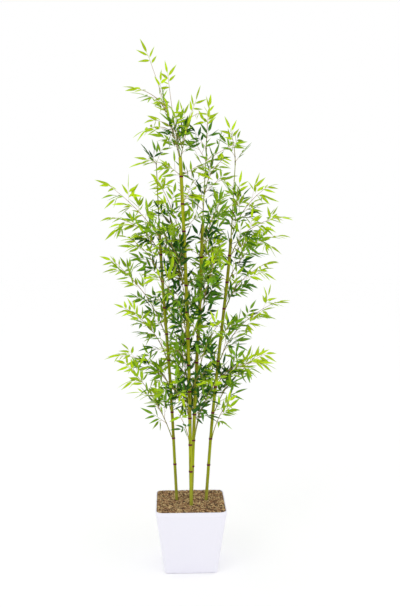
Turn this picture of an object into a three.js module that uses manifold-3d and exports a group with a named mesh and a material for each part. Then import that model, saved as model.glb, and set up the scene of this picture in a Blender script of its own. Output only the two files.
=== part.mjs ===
// Potted bamboo: four slender canes with arching side branches and leaf sprays,
// standing in bark mulch in a white square planter.
//
// Millimetres, +Z up. The origin is the centre of the planter's flat underside,
// and the front of the plant faces -Y.
//
// The canes carry side branches at their node rings. A long branch is a bough
// with a mass of foliage at its end, and a short one is foliage right from the
// cane. Every mass is one stem with twigs that branch by a seeded rule and
// leaves fused on, and it keeps to the space that lies nearest to its own stem.

import * as THREE from 'three';
import { mergeVertices } from 'three/addons/utils/BufferGeometryUtils.js';
import Module from 'manifold-3d';

const wasm = await Module();
wasm.setup();

// Planter
const PLANTER_HEIGHT = 265;
const PLANTER_TOP_HALF = 142.5;
const PLANTER_FOOT_HALF = 106;
const PLANTER_CORNER = 30;
const PLANTER_FOOT_CORNER = 14;
const PLANTER_WALL = 4;
const PLANTER_FLOOR = 5;
const BAND_HEIGHT = 18;
const BAND_STEP = 2;
const FOOT_CHAMFER = 5;
const CORNER_POINTS = 4;

// Mulch
const MULCH_EDGE = 260;
const MULCH_CROWN = 263;
const MULCH_GAP = 0.4;
const MOUND_SHARE = 0.7;
const MOUND_STEP = 2;
const SOCKET_DEPTH = 12;

// Canes
const CANE_SIDES = 6;
const INTERNODE = 108;
const RING_HALF = 4;
const RING_SWELL = 1.3;
const LEADER_RADIUS = 2.4;
const LEADER_TIP_RADIUS = 1.6;
const LEADER_SURFACE = 2.3;
const LEADER_STEP = 120;
const CANE_SHOULDER = 6;

// Branches
const CLEARANCE = 0.3;
const LEAVING_ANGLE = THREE.MathUtils.degToRad(20);
const KNEE = 0.5;
const RISE_PER_REACH = 1.2;
const ABOVE_RING = 6;
const LOWEST_BRANCH = 500;
const BOUGH_RADIUS = 2.7;
const BOUGH_TIP_RADIUS = 2.1;
const BOUGH_SHARE = 0.36;
const BOUGH_DISTANCE = 350;
const BOUGH_SIDES = 5;
const BOUGH_STEPS = 4;
const SPINE_PIECES = 8;
const BOUGH_PIECES = 4;

// Twigs and leaves
const STEM_RADIUS = 2.6;
const STEM_TIP_RADIUS = 1.7;
const STEM_STEPS = 4;
const STEM_INSET = 0.8;
const TWIG_RADIUS = 1.2;
const TWIG_TIP_RADIUS = 1.1;
const TWIG_LENGTH = 56;
const TWIG_SPACING = 64;
const TWIG_ANGLE = THREE.MathUtils.degToRad(40);
const TWIG_TURN = THREE.MathUtils.degToRad(137.5);
const TWIG_SWAY = 0.4;
const TWIG_SHORTENING = 0.35;
const TWIG_VARIATION = 0.15;
const LAST_TWIG = 0.96;
const BARE_SHARE = 0.14;
const BARE_STEM = 0.06;
const LEAF_LENGTH = 108;
const LEAF_WIDTH = 31;
const LEAF_THICKNESS = 2;
const LEAF_WIDEST = 0.34;
const LEAF_RIDGE = 0.16;
const FAN_ANGLE = THREE.MathUtils.degToRad(36);
const FAN_LEAVES = 4;
const FAN_START = 3;
const FAN_STEP = 6;
const FAN_LEAD = THREE.MathUtils.degToRad(17);
const TIP_LEAVES = 5;
const LEAF_DROOP = 0.16;
const FAN_SWAY = 0.08;
const FAN_TILT = 0.9;
const LEAF_TILT = 0.5;
const LEAF_SAMPLES = 8;
const CROWN_FOOT = 575;
const SPACE_MARGIN = 1.2;

// The four canes: the route of each axis from its foot, where the thick cane
// ends and a thin leader goes on, and the height of its lowest node ring.
const CANES = [
  {
    name: 'cane_left',
    radius: 6.1,
    firstRing: 414,
    caneTop: 1361,
    route: [[-56, 17, 253], [-81, 45, 743], [-112, 45, 1177], [-124, 44, 1400], [-134, 42, 1640]],
  },
  {
    name: 'cane_centre_left',
    radius: 7,
    firstRing: 401,
    caneTop: 1664,
    route: [[2, -48, 253], [-6, 0, 823], [-17, 0, 1174], [-31, 0, 1501], [-39, 0, 1664]],
  },
  {
    name: 'cane_centre_right',
    radius: 7,
    firstRing: 403,
    caneTop: 1400,
    route: [[4, 25, 253], [22, 45, 725], [42, 45, 1115], [51, 45, 1397], [66, 44, 1690]],
  },
  {
    name: 'cane_right',
    radius: 6.5,
    firstRing: 410,
    caneTop: 1340,
    route: [[64, 12, 253], [92, 40, 607], [127, 40, 950], [161, 41, 1273], [182, 42, 1640]],
  },
];

// Outermost leaf tips, tier by tier: their height, and how far they reach to
// the left, to the right, and to the front and back of the canes.
const TIERS = [
  { height: 750, left: 145, right: 165, depth: 190 },
  { height: 905, left: 275, right: 345, depth: 243 },
  { height: 895, left: 342, right: 325, depth: 265 },
  { height: 1125, left: 282, right: 400, depth: 280 },
  { height: 1300, left: 345, right: 325, depth: 285 },
  { height: 1400, left: 262, right: 390, depth: 285 },
  { height: 1475, left: 348, right: 380, depth: 265 },
  { height: 1605, left: 345, right: 350, depth: 225 },
];
const DEPTH_CENTRE = 22;
const SIDE_STAGGER = 115;
const DEPTH_STAGGER = 0.42;
const DEPTH_DROP = 35;

// Three thin leaders stand in the open end of the centre-left cane.
const LEADERS = [
  { name: 'leader_left', seat: [-3.2, -1.2], tip: [-180, 0, 2115] },
  { name: 'leader_middle', seat: [0, 3.4], tip: [-96, 52, 2045] },
  { name: 'leader_right', seat: [3.2, -1.4], tip: [30, -70, 1925] },
];
const LEADER_SHARE = 0.6;
const LEADER_LEAN = THREE.MathUtils.degToRad(14);

// Sprays above the tiers: the leader or cane that carries each, the height at
// which it starts, and its outermost leaf tip.
const UPPER_SPRAYS = [
  { name: 'upper_left', limb: 'leader_left', height: 1740, tip: [-215, -120, 1795] },
  { name: 'top_left', limb: 'leader_left', height: 1840, tip: [-242, 25, 1982] },
  { name: 'upper_front', limb: 'leader_right', height: 1700, tip: [-160, -190, 1835] },
  { name: 'upper_back', limb: 'leader_middle', height: 1720, tip: [70, 215, 1905] },
  { name: 'upper_right', limb: 'cane_right', height: 1440, tip: [212, 20, 1612] },
  { name: 'upper_centre', limb: 'cane_centre_right', height: 1520, tip: [140, -140, 1700] },
];
const CANE_TIPS = [
  { name: 'tip_left', cane: 'cane_left', tip: [-186, 60, 1714] },
  { name: 'tip_centre', cane: 'cane_centre_right', tip: [80, 60, 1922] },
  { name: 'tip_right', cane: 'cane_right', tip: [158, 20, 1830] },
];

const UP = new THREE.Vector3(0, 0, 1);
const EAST = new THREE.Vector3(1, 0, 0);
const NORTH = new THREE.Vector3(0, 1, 0);

const MATERIALS = {
  planter: new THREE.MeshStandardMaterial({ color: 0xeeedf6, roughness: 0.35, metalness: 0 }),
  mulch: new THREE.MeshStandardMaterial({ color: 0x7d6243, roughness: 1, metalness: 0 }),
  cane: new THREE.MeshStandardMaterial({ color: 0x9ba52a, roughness: 0.55, metalness: 0 }),
  bough: new THREE.MeshStandardMaterial({ color: 0x7f8a33, roughness: 0.6, metalness: 0 }),
  foliage: new THREE.MeshStandardMaterial({ color: 0x5f9a34, roughness: 0.55, metalness: 0 }),
};

// Seeded random numbers from 0 to 1.
function seeded(seed) {
  let state = seed;
  return () => {
    state = (state * 1664525 + 1013904223) % 4294967296;
    return state / 4294967296;
  };
}

// A number spread evenly about zero, up to the given size.
function spread(random, size) {
  return (random() * 2 - 1) * size;
}

// Closed surface through a row of convex loops with equal counts of points.
function loft(loops) {
  const count = loops[0].length;
  const points = loops.flat();
  const faces = [];
  for (let row = 0; row < loops.length - 1; row += 1) {
    for (let k = 0; k < count; k += 1) {
      const a = row * count + k;
      const b = row * count + ((k + 1) % count);
      faces.push(a, b, a + count, b, b + count, a + count);
    }
  }
  const last = (loops.length - 1) * count;
  for (let k = 1; k < count - 1; k += 1) {
    faces.push(0, k + 1, k);
    faces.push(last, last + k, last + k + 1);
  }
  const geometry = new THREE.BufferGeometry().setFromPoints(points);
  geometry.setIndex(faces);
  return geometry;
}

// Loop of points on a level rounded square.
function roundedSquare(half, corner, z) {
  const flat = half - corner;
  const shape = new THREE.Shape();
  shape.absarc(flat, -flat, corner, -Math.PI / 2, 0, false);
  shape.absarc(flat, flat, corner, 0, Math.PI / 2, false);
  shape.absarc(-flat, flat, corner, Math.PI / 2, Math.PI, false);
  shape.absarc(-flat, -flat, corner, Math.PI, 1.5 * Math.PI, false);
  return shape.getPoints(CORNER_POINTS).map((p) => new THREE.Vector3(p.x, p.y, z));
}

// Loop of points round a centre, in the plane of two unit vectors.
function ring(centre, radius, sides, across, along) {
  const points = [];
  for (let k = 0; k < sides; k += 1) {
    const angle = (2 * Math.PI * k) / sides;
    const point = centre.clone();
    point.addScaledVector(across, radius * Math.cos(angle));
    point.addScaledVector(along, radius * Math.sin(angle));
    points.push(point);
  }
  return points;
}

// Level unit vector square to a direction.
function levelAcross(direction) {
  const across = UP.clone().cross(direction);
  return across.lengthSq() > 0 ? across.normalize() : EAST.clone();
}

// Tapering limb on the stretch of a path between two shares of its length.
function limb(path, from, to, startRadius, endRadius, sides, steps) {
  const loops = [];
  const across = levelAcross(path.getPoint(1).sub(path.getPoint(0)));
  for (let k = 0; k <= steps; k += 1) {
    const t = from + ((to - from) * k) / steps;
    const radius = THREE.MathUtils.lerp(startRadius, endRadius, k / steps);
    const along = path.getTangent(t).cross(across).normalize();
    loops.push(ring(path.getPoint(t), radius, sides, across, along));
  }
  return loft(loops);
}

// Solid of a closed surface.
function toSolid(geometry) {
  const bare = geometry.clone();
  bare.deleteAttribute('normal');
  bare.deleteAttribute('uv');
  const merged = mergeVertices(bare);
  return new wasm.Manifold(new wasm.Mesh({
    numProp: 3,
    vertProperties: new Float32Array(merged.attributes.position.array),
    triVerts: new Uint32Array(merged.index.array),
  }));
}

// Surface of a solid's largest shell. A sealed hollow inside it is filled and
// a loose scrap beside it is dropped.
function toGeometry(solid) {
  const mesh = solid.getMesh();
  const points = [];
  for (let k = 0; k < mesh.vertProperties.length; k += mesh.numProp) {
    points.push(new THREE.Vector3().fromArray(mesh.vertProperties, k));
  }
  const owner = points.map((_, index) => index);
  const find = (index) => {
    let root = index;
    while (owner[root] !== root) root = owner[root];
    owner[index] = root;
    return root;
  };
  for (let k = 0; k < mesh.triVerts.length; k += 3) {
    const root = find(mesh.triVerts[k]);
    owner[find(mesh.triVerts[k + 1])] = root;
    owner[find(mesh.triVerts[k + 2])] = root;
  }
  const volumes = new Map();
  for (let k = 0; k < mesh.triVerts.length; k += 3) {
    const [a, b, c] = [0, 1, 2].map((side) => points[mesh.triVerts[k + side]]);
    const root = find(mesh.triVerts[k]);
    volumes.set(root, (volumes.get(root) ?? 0) + a.dot(b.clone().cross(c)) / 6);
  }
  const largest = [...volumes].reduce((best, entry) => (entry[1] > best[1] ? entry : best))[0];
  const faces = [];
  for (let k = 0; k < mesh.triVerts.length; k += 3) {
    if (find(mesh.triVerts[k]) === largest) {
      faces.push(mesh.triVerts[k], mesh.triVerts[k + 1], mesh.triVerts[k + 2]);
    }
  }
  const geometry = new THREE.BufferGeometry().setFromPoints(points);
  geometry.setIndex(faces);
  return geometry;
}

// Planter: a thin square shell that narrows downwards below an upright band.
const bandFoot = PLANTER_HEIGHT - BAND_HEIGHT;
const taperTop = bandFoot - BAND_STEP * 2;

// Radius of the planter's upright corners, tighter towards its foot.
function cornerAt(z) {
  const share = Math.min(1, z / taperTop);
  return PLANTER_FOOT_CORNER + (PLANTER_CORNER - PLANTER_FOOT_CORNER) * share;
}

function planterGeometry() {
  const inside = (half, z) => roundedSquare(half - PLANTER_WALL, cornerAt(z) - PLANTER_WALL, z);
  const outside = (half, z) => roundedSquare(half, cornerAt(z), z);
  return loft([
    outside(PLANTER_FOOT_HALF - FOOT_CHAMFER, 0),
    outside(PLANTER_FOOT_HALF, FOOT_CHAMFER),
    outside(PLANTER_TOP_HALF - BAND_STEP, taperTop),
    outside(PLANTER_TOP_HALF, bandFoot),
    outside(PLANTER_TOP_HALF, PLANTER_HEIGHT),
    inside(PLANTER_TOP_HALF, PLANTER_HEIGHT),
    inside(PLANTER_TOP_HALF, bandFoot),
    inside(PLANTER_TOP_HALF - BAND_STEP, taperTop),
    inside(PLANTER_FOOT_HALF, PLANTER_FLOOR),
  ]);
}

// Mulch: it fills the planter up to a low mound just under the rim, and each
// cane stands in a socket in it.
function mulchGeometry() {
  const gap = PLANTER_WALL + MULCH_GAP;
  const corner = PLANTER_CORNER - gap;
  const edge = PLANTER_TOP_HALF - gap;
  const body = toSolid(loft([
    roundedSquare(PLANTER_FOOT_HALF - gap, cornerAt(PLANTER_FLOOR) - gap, PLANTER_FLOOR + CLEARANCE),
    roundedSquare(PLANTER_TOP_HALF - BAND_STEP - gap, corner, taperTop),
    roundedSquare(edge, corner, bandFoot),
    roundedSquare(edge, corner, MULCH_EDGE),
    roundedSquare(edge * MOUND_SHARE, corner * MOUND_SHARE, MULCH_CROWN - MOUND_STEP),
    roundedSquare(edge * MOUND_SHARE / 2, corner * MOUND_SHARE / 2, MULCH_CROWN),
  ]));
  return CANES.reduce((solid, cane) => solid.subtract(toSolid(socketGeometry(cane))), body);
}

function caneFoot() {
  return MULCH_EDGE - SOCKET_DEPTH;
}

function socketGeometry(cane) {
  const radius = cane.radius + CLEARANCE;
  const heights = [caneFoot() - CLEARANCE, MULCH_CROWN + SOCKET_DEPTH];
  return loft(heights.map((z) => caneRing(cane, radius, z)));
}

// Level section of a cane.
function caneRing(cane, radius, z) {
  return ring(canePoint(cane, z), radius, CANE_SIDES, EAST, NORTH);
}

// Point on a path at a height.
function pathPoint(path, z) {
  let [low, high] = [0, 1];
  for (let k = 0; k < 30; k += 1) {
    const middle = (low + high) / 2;
    if (path.getPoint(middle).z < z) {
      low = middle;
    } else {
      high = middle;
    }
  }
  return path.getPoint(high);
}

// Point on a cane's axis at a height.
function canePoint(cane, z) {
  const points = cane.route.map((p) => new THREE.Vector3(...p));
  const [first, second] = points;
  if (z <= first.z) {
    return first.clone().lerp(second, (z - first.z) / (second.z - first.z));
  }
  return pathPoint(new THREE.CatmullRomCurve3(points), z);
}

function caneEnd(cane) {
  return cane.route.at(-1)[2];
}

function ringHeights(cane) {
  const heights = [];
  for (let z = cane.firstRing; z < cane.caneTop - INTERNODE / 4; z += INTERNODE) {
    heights.push(z);
  }
  return heights;
}

// A cane's radius at a height: the thick cane, then its thin leader.
function caneRadius(cane, z) {
  if (z <= cane.caneTop) return cane.radius;
  const share = (z - cane.caneTop) / Math.max(1, caneEnd(cane) - cane.caneTop);
  return THREE.MathUtils.lerp(LEADER_RADIUS, LEADER_TIP_RADIUS, share);
}

// Cane: flat cut at its foot, a swollen ring at every node, and a thin leader
// that goes on from the open end of three of the four canes.
function caneGeometry(cane) {
  const sections = [[caneFoot(), cane.radius]];
  for (const z of ringHeights(cane)) {
    sections.push([z - RING_HALF, cane.radius]);
    sections.push([z, cane.radius + RING_SWELL]);
    sections.push([z + RING_HALF, cane.radius]);
  }
  sections.push([cane.caneTop, cane.radius]);
  for (let z = cane.caneTop + CANE_SHOULDER; z < caneEnd(cane); z += LEADER_STEP) {
    sections.push([z, caneRadius(cane, z)]);
  }
  if (caneEnd(cane) > cane.caneTop) {
    sections.push([caneEnd(cane), LEADER_TIP_RADIUS]);
  }
  return loft(sections.map(([z, radius]) => caneRing(cane, radius, z)));
}

// A branch leaves its limb steeply and bows outwards to the tip of its stem,
// which lies most of a leaf's length inside the outermost leaf tip.
function branchPath(root, leafTip, angle) {
  const aim = leafTip.clone().sub(root);
  const stemTip = leafTip.clone().addScaledVector(aim.clone().normalize(), -STEM_INSET * LEAF_LENGTH);
  const outward = new THREE.Vector3(aim.x, aim.y, 0).normalize();
  const steep = outward.multiplyScalar(Math.sin(angle)).addScaledVector(UP, Math.cos(angle));
  const knee = root.clone().addScaledVector(steep, KNEE * root.distanceTo(stemTip));
  return new THREE.QuadraticBezierCurve3(root, knee, stemTip);
}

// How far a section of a limb reaches square to its upright plane.
function sectionDepth(radius, sides) {
  return radius * Math.sin((2 * Math.PI * Math.round(sides / 4)) / sides);
}

// Start of a branch just clear of the limb that it stands on.
function rootBeside(axisPoint, surface, depth, leafTip) {
  const outward = leafTip.clone().sub(axisPoint).setZ(0).normalize();
  return axisPoint.clone().addScaledVector(outward, surface + CLEARANCE + depth * Math.cos(LEAVING_ANGLE));
}

// Distance from the axis of a level six-sided section to its side at an angle.
function sectionReach(radius, angle) {
  const half = Math.PI / CANE_SIDES;
  const turned = ((angle % (2 * half)) + 2 * half) % (2 * half);
  return (radius * Math.cos(half)) / Math.cos(turned - half);
}

const caneByName = new Map(CANES.map((cane) => [cane.name, cane]));
const freeRings = new Map();

// Height on a cane where a branch can start: the nearest node ring that has no
// branch yet on that side, or any height on the thin leader.
function takeRing(cane, side, wanted) {
  if (wanted > cane.caneTop) return wanted;
  const key = `${cane.name} ${side}`;
  if (!freeRings.has(key)) {
    freeRings.set(key, ringHeights(cane).filter((z) => z > LOWEST_BRANCH));
  }
  const free = freeRings.get(key);
  const nearest = free.reduce((best, z) => (Math.abs(z - wanted) < Math.abs(best - wanted) ? z : best));
  free.splice(free.indexOf(nearest), 1);
  return nearest + ABOVE_RING;
}

// Branch from a cane to an outermost leaf tip.
function caneBranch(side, number, caneName, leafTip) {
  const cane = caneByName.get(caneName);
  const below = canePoint(cane, leafTip.z - INTERNODE * 2);
  const reach = Math.hypot(leafTip.x - below.x, leafTip.y - below.y);
  const z = takeRing(cane, side, leafTip.z - RISE_PER_REACH * reach);
  const axisPoint = canePoint(cane, z);
  const bearing = Math.atan2(leafTip.y - axisPoint.y, leafTip.x - axisPoint.x);
  const surface = sectionReach(caneRadius(cane, z), bearing);
  const onSide = side === 'left' || side === 'right';
  const hasBough = onSide && axisPoint.distanceTo(leafTip) > BOUGH_DISTANCE;
  const depth = hasBough ? sectionDepth(BOUGH_RADIUS, BOUGH_SIDES) : sectionDepth(STEM_RADIUS, 3);
  const root = rootBeside(axisPoint, surface, depth, leafTip);
  const path = branchPath(root, leafTip, LEAVING_ANGLE);
  return { name: `${side}_${number}`, path, boughShare: hasBough ? BOUGH_SHARE : 0 };
}

// Four branches in every tier, a quarter turn apart and staggered from tier to
// tier, each from the cane that stands nearest to its side.
function tierBranches() {
  const list = [];
  TIERS.forEach((tier, index) => {
    const even = index % 2 === 0;
    const side = even ? 1 : -1;
    const number = index + 1;
    const leftCane = number === TIERS.length ? 'cane_centre_left' : 'cane_left';
    const frontCane = even ? 'cane_centre_left' : 'cane_centre_right';
    const backCane = even ? 'cane_centre_right' : 'cane_centre_left';
    const frontX = even ? -tier.left * DEPTH_STAGGER : tier.left * DEPTH_STAGGER;
    const stagger = side * SIDE_STAGGER;
    const front = new THREE.Vector3(frontX, DEPTH_CENTRE - tier.depth, tier.height - DEPTH_DROP);
    const back = new THREE.Vector3(-frontX, DEPTH_CENTRE + tier.depth, tier.height + DEPTH_DROP);
    const left = new THREE.Vector3(-tier.left, DEPTH_CENTRE + stagger, tier.height);
    list.push(caneBranch('left', number, leftCane, left));
    const right = new THREE.Vector3(tier.right, DEPTH_CENTRE - stagger, tier.height);
    list.push(caneBranch('right', number, 'cane_right', right));
    list.push(caneBranch('front', number, frontCane, front));
    list.push(caneBranch('back', number, backCane, back));
  });
  return list;
}

// Leaders in the open end of the centre-left cane.
function leaderBranches() {
  const cane = caneByName.get('cane_centre_left');
  const top = canePoint(cane, cane.caneTop);
  return LEADERS.map(({ name, seat, tip }) => {
    const lift = CLEARANCE + LEADER_RADIUS * Math.sin(LEADER_LEAN);
    const root = top.clone().add(new THREE.Vector3(...seat, lift));
    const path = branchPath(root, new THREE.Vector3(...tip), LEADER_LEAN);
    return { name, path, boughShare: LEADER_SHARE, radius: LEADER_RADIUS };
  });
}

function upperBranches(leaders) {
  return UPPER_SPRAYS.map(({ name, limb: limbName, height, tip }) => {
    const cane = caneByName.get(limbName);
    const leader = leaders.find((one) => one.name === limbName);
    const axisPoint = cane ? canePoint(cane, height) : pathPoint(leader.path, height);
    const leafTip = new THREE.Vector3(...tip);
    const bearing = Math.atan2(leafTip.y - axisPoint.y, leafTip.x - axisPoint.x);
    const surface = cane ? sectionReach(caneRadius(cane, height), bearing) : LEADER_SURFACE;
    const root = rootBeside(axisPoint, surface, sectionDepth(STEM_RADIUS, 3), leafTip);
    return { name, path: branchPath(root, leafTip, LEAVING_ANGLE) };
  });
}

function caneTipBranches() {
  return CANE_TIPS.map(({ name, cane: caneName, tip }) => {
    const cane = caneByName.get(caneName);
    const root = canePoint(cane, caneEnd(cane)).add(new THREE.Vector3(0, 0, CLEARANCE));
    return { name, path: branchPath(root, new THREE.Vector3(...tip), 0) };
  });
}

const leaders = leaderBranches();
const branches = [
  ...tierBranches(),
  ...leaders,
  ...upperBranches(leaders),
  ...caneTipBranches(),
];

// A bough ends where the foliage begins, and the stem of the foliage goes on
// from there.
for (const branch of branches) {
  branch.boughShare ??= 0;
  const gapShare = CLEARANCE / branch.path.getLength();
  branch.stemStart = branch.boughShare > 0 ? branch.boughShare + gapShare : 0;
}

// Short straight pieces of a path between two shares of its length.
function pieces(path, from, to, radius, count) {
  const points = [];
  for (let k = 0; k <= count; k += 1) {
    points.push(path.getPoint(from + ((to - from) * k) / count));
  }
  return points.slice(1).map((point, k) => ({ line: new THREE.Line3(points[k], point), radius }));
}

function canePieces(cane) {
  const heights = [caneFoot(), ...ringHeights(cane), cane.caneTop, caneEnd(cane)];
  const points = heights.map((z) => canePoint(cane, z));
  return points.slice(1).map((point, k) => ({
    line: new THREE.Line3(points[k], point),
    radius: cane.radius + RING_SWELL,
  }));
}

const limbPieces = CANES.flatMap(canePieces);
for (const branch of branches) {
  branch.spine = pieces(branch.path, branch.stemStart, 1, STEM_RADIUS, SPINE_PIECES);
  if (branch.boughShare > 0) {
    limbPieces.push(...pieces(branch.path, 0, branch.boughShare, BOUGH_RADIUS, BOUGH_PIECES));
  }
}

const nearestOnLine = new THREE.Vector3();

function distanceTo(list, point) {
  return Math.min(...list.map(({ line, radius }) => {
    line.closestPointToPoint(point, true, nearestOnLine);
    return nearestOnLine.distanceTo(point) - radius;
  }));
}

// True where a ball keeps to its branch's own space: clear of every limb, and
// nearer to its own stem than to any other by more than its own width.
function isFree(branch, point, halfWidth) {
  if (point.z < CROWN_FOOT) return false;
  if (distanceTo(limbPieces, point) < halfWidth + SPACE_MARGIN) return false;
  const own = distanceTo(branch.spine, point);
  const needed = own + 2 * halfWidth + SPACE_MARGIN;
  return branches.every((other) => other === branch || distanceTo(other.spine, point) > needed);
}

// Leaf: a flat four-cornered blade, widest a third of the way along, that a low
// ridge near its root makes solid.
function leafGeometry(root, direction, normal) {
  const side = normal.clone().cross(direction).normalize();
  const face = direction.clone().cross(side).normalize();
  const at = (along, across, height) => {
    const point = root.clone().addScaledVector(direction, along * LEAF_LENGTH);
    return point.addScaledVector(side, across).addScaledVector(face, height);
  };
  const low = -LEAF_THICKNESS / 3;
  const geometry = new THREE.BufferGeometry().setFromPoints([
    at(0, 0, 0),
    at(LEAF_WIDEST, LEAF_WIDTH / 2, low),
    at(1, 0, low),
    at(LEAF_WIDEST, -LEAF_WIDTH / 2, low),
    at(LEAF_RIDGE, 0, low + LEAF_THICKNESS),
  ]);
  geometry.setIndex([0, 1, 3, 1, 2, 3, 1, 0, 4, 2, 1, 4, 3, 2, 4, 0, 3, 4]);
  return geometry;
}

function leafFits(branch, root, direction) {
  for (let k = 1; k <= LEAF_SAMPLES; k += 1) {
    const along = k / LEAF_SAMPLES;
    const width = along < LEAF_WIDEST ? along / LEAF_WIDEST : (1 - along) / (1 - LEAF_WIDEST);
    const point = root.clone().addScaledVector(direction, along * LEAF_LENGTH);
    if (!isFree(branch, point, (width * LEAF_WIDTH) / 2)) return false;
  }
  return true;
}

// Fan of leaves about the end of a path, rooted one behind the other on it. A
// leaf that leaves the branch's space is skipped.
function fan(branch, path, count, random) {
  const direction = path.getTangent(1);
  const length = path.getLength();
  const leaves = [];
  const level = UP.clone().applyAxisAngle(direction, spread(random, FAN_TILT));
  const normal = direction.clone().cross(level.cross(direction)).normalize();
  const hand = random() < 0.5 ? -1 : 1;
  for (let k = 0; k < count; k += 1) {
    const place = k % 2 === 0 ? k / 2 : -(k + 1) / 2;
    const turn = hand * (FAN_LEAD + place * FAN_ANGLE) + spread(random, FAN_SWAY);
    const aim = direction.clone().applyAxisAngle(normal, turn);
    aim.z -= LEAF_DROOP;
    aim.normalize();
    const root = path.getPoint(1 - (FAN_START + FAN_STEP * k) / length);
    const tilted = normal.clone().applyAxisAngle(aim, spread(random, LEAF_TILT));
    if (leafFits(branch, root, aim)) {
      leaves.push(leafGeometry(root, aim, tilted));
    }
  }
  return leaves;
}

// Mass of foliage: the branch's stem, twigs in turn all round it, and a fan of
// leaves at the end of each twig and of the stem.
function foliageGeometry(branch, seed) {
  const random = seeded(seed);
  const { path, stemStart } = branch;
  const firstTwig = Math.max(BARE_SHARE, stemStart + BARE_STEM);
  const count = Math.max(2, Math.round(((1 - firstTwig) * path.getLength()) / TWIG_SPACING));
  const parts = [limb(path, stemStart, 1, STEM_RADIUS, STEM_TIP_RADIUS, 3, STEM_STEPS)];
  for (let k = 0; k < count; k += 1) {
    const t = firstTwig + ((LAST_TWIG - firstTwig) * k) / count;
    const tangent = path.getTangent(t);
    const roll = k * TWIG_TURN + seed + spread(random, TWIG_SWAY);
    const turned = levelAcross(tangent).applyAxisAngle(tangent, roll);
    const direction = tangent.clone().multiplyScalar(Math.cos(TWIG_ANGLE));
    direction.addScaledVector(turned, Math.sin(TWIG_ANGLE));
    const variation = 1 + spread(random, TWIG_VARIATION);
    const length = TWIG_LENGTH * (1 - TWIG_SHORTENING * (k / count)) * variation;
    const start = path.getPoint(t);
    const end = start.clone().addScaledVector(direction, length);
    const twig = new THREE.LineCurve3(start, end);
    const leaves = fan(branch, twig, FAN_LEAVES, random);
    if (leaves.length > 0 && isFree(branch, end, TWIG_RADIUS)) {
      parts.push(limb(twig, 0, 1, TWIG_RADIUS, TWIG_TIP_RADIUS, 3, 1));
      parts.push(...leaves);
    }
  }
  parts.push(...fan(branch, path, TIP_LEAVES, random));
  const [stem, ...rest] = parts.map(toSolid);
  return toGeometry(rest.reduce((solid, part) => solid.add(part), stem));
}

const group = new THREE.Group();

function addPart(name, geometry, material) {
  const mesh = new THREE.Mesh(geometry, material.clone());
  mesh.name = name;
  group.add(mesh);
}

addPart('planter', planterGeometry(), MATERIALS.planter);
addPart('mulch_fill', toGeometry(mulchGeometry()), MATERIALS.mulch);

for (const cane of CANES) {
  addPart(cane.name, caneGeometry(cane), MATERIALS.cane);
}

branches.forEach((branch, index) => {
  if (branch.boughShare > 0) {
    const shape = [branch.radius ?? BOUGH_RADIUS, BOUGH_TIP_RADIUS, BOUGH_SIDES, BOUGH_STEPS];
    addPart(`bough_${branch.name}`, limb(branch.path, 0, branch.boughShare, ...shape), MATERIALS.bough);
  }
  addPart(`foliage_${branch.name}`, foliageGeometry(branch, index + 1), MATERIALS.foliage);
});

export default group;
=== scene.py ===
"""Potted bamboo: four slender canes with arching side branches, fine twigs and
narrow leaves, standing in bark mulch in a white square planter.

The canes are read from the frame. The side branches follow the rule that the
solids follow, written again here and carried on to finer twigs and to leaves
of their real size. All lengths are in metres.
"""

import math

import bmesh
import bpy
import numpy as np
from bpy.props import FloatProperty, FloatVectorProperty, IntProperty, PointerProperty
from mathutils import Matrix, Vector


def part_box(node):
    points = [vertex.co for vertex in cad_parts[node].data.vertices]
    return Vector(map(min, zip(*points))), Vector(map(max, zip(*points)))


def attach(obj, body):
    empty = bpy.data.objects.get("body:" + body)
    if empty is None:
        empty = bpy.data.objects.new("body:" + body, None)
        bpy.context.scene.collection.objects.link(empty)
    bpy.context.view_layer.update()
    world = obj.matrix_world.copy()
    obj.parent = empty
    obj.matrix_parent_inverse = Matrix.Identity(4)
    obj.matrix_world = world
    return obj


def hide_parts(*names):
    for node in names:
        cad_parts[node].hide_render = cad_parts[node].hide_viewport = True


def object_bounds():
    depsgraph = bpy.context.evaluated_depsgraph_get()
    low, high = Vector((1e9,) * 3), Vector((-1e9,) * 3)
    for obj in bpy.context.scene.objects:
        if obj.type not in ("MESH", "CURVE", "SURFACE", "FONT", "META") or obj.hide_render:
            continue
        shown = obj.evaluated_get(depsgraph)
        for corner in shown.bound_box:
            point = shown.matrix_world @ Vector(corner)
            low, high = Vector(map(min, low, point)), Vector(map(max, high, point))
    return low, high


bl_info = {
    "name": "Potted Bamboo",
    "version": (1, 0, 0),
    "blender": (4, 5, 0),
    "location": "3D View > Sidebar > Bamboo",
    "description": "Builds a potted bamboo round the solids of the frame",
    "category": "Object",
}

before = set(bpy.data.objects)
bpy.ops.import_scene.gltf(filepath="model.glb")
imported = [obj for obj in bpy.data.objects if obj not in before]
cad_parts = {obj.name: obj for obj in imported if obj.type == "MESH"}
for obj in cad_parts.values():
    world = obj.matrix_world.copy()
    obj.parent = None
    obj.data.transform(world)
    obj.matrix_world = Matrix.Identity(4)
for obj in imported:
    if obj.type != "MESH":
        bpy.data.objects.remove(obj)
CAD_LOW, CAD_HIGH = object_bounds()

BODY = "root"
UP = Vector((0, 0, 1))
MM = 0.001

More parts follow.
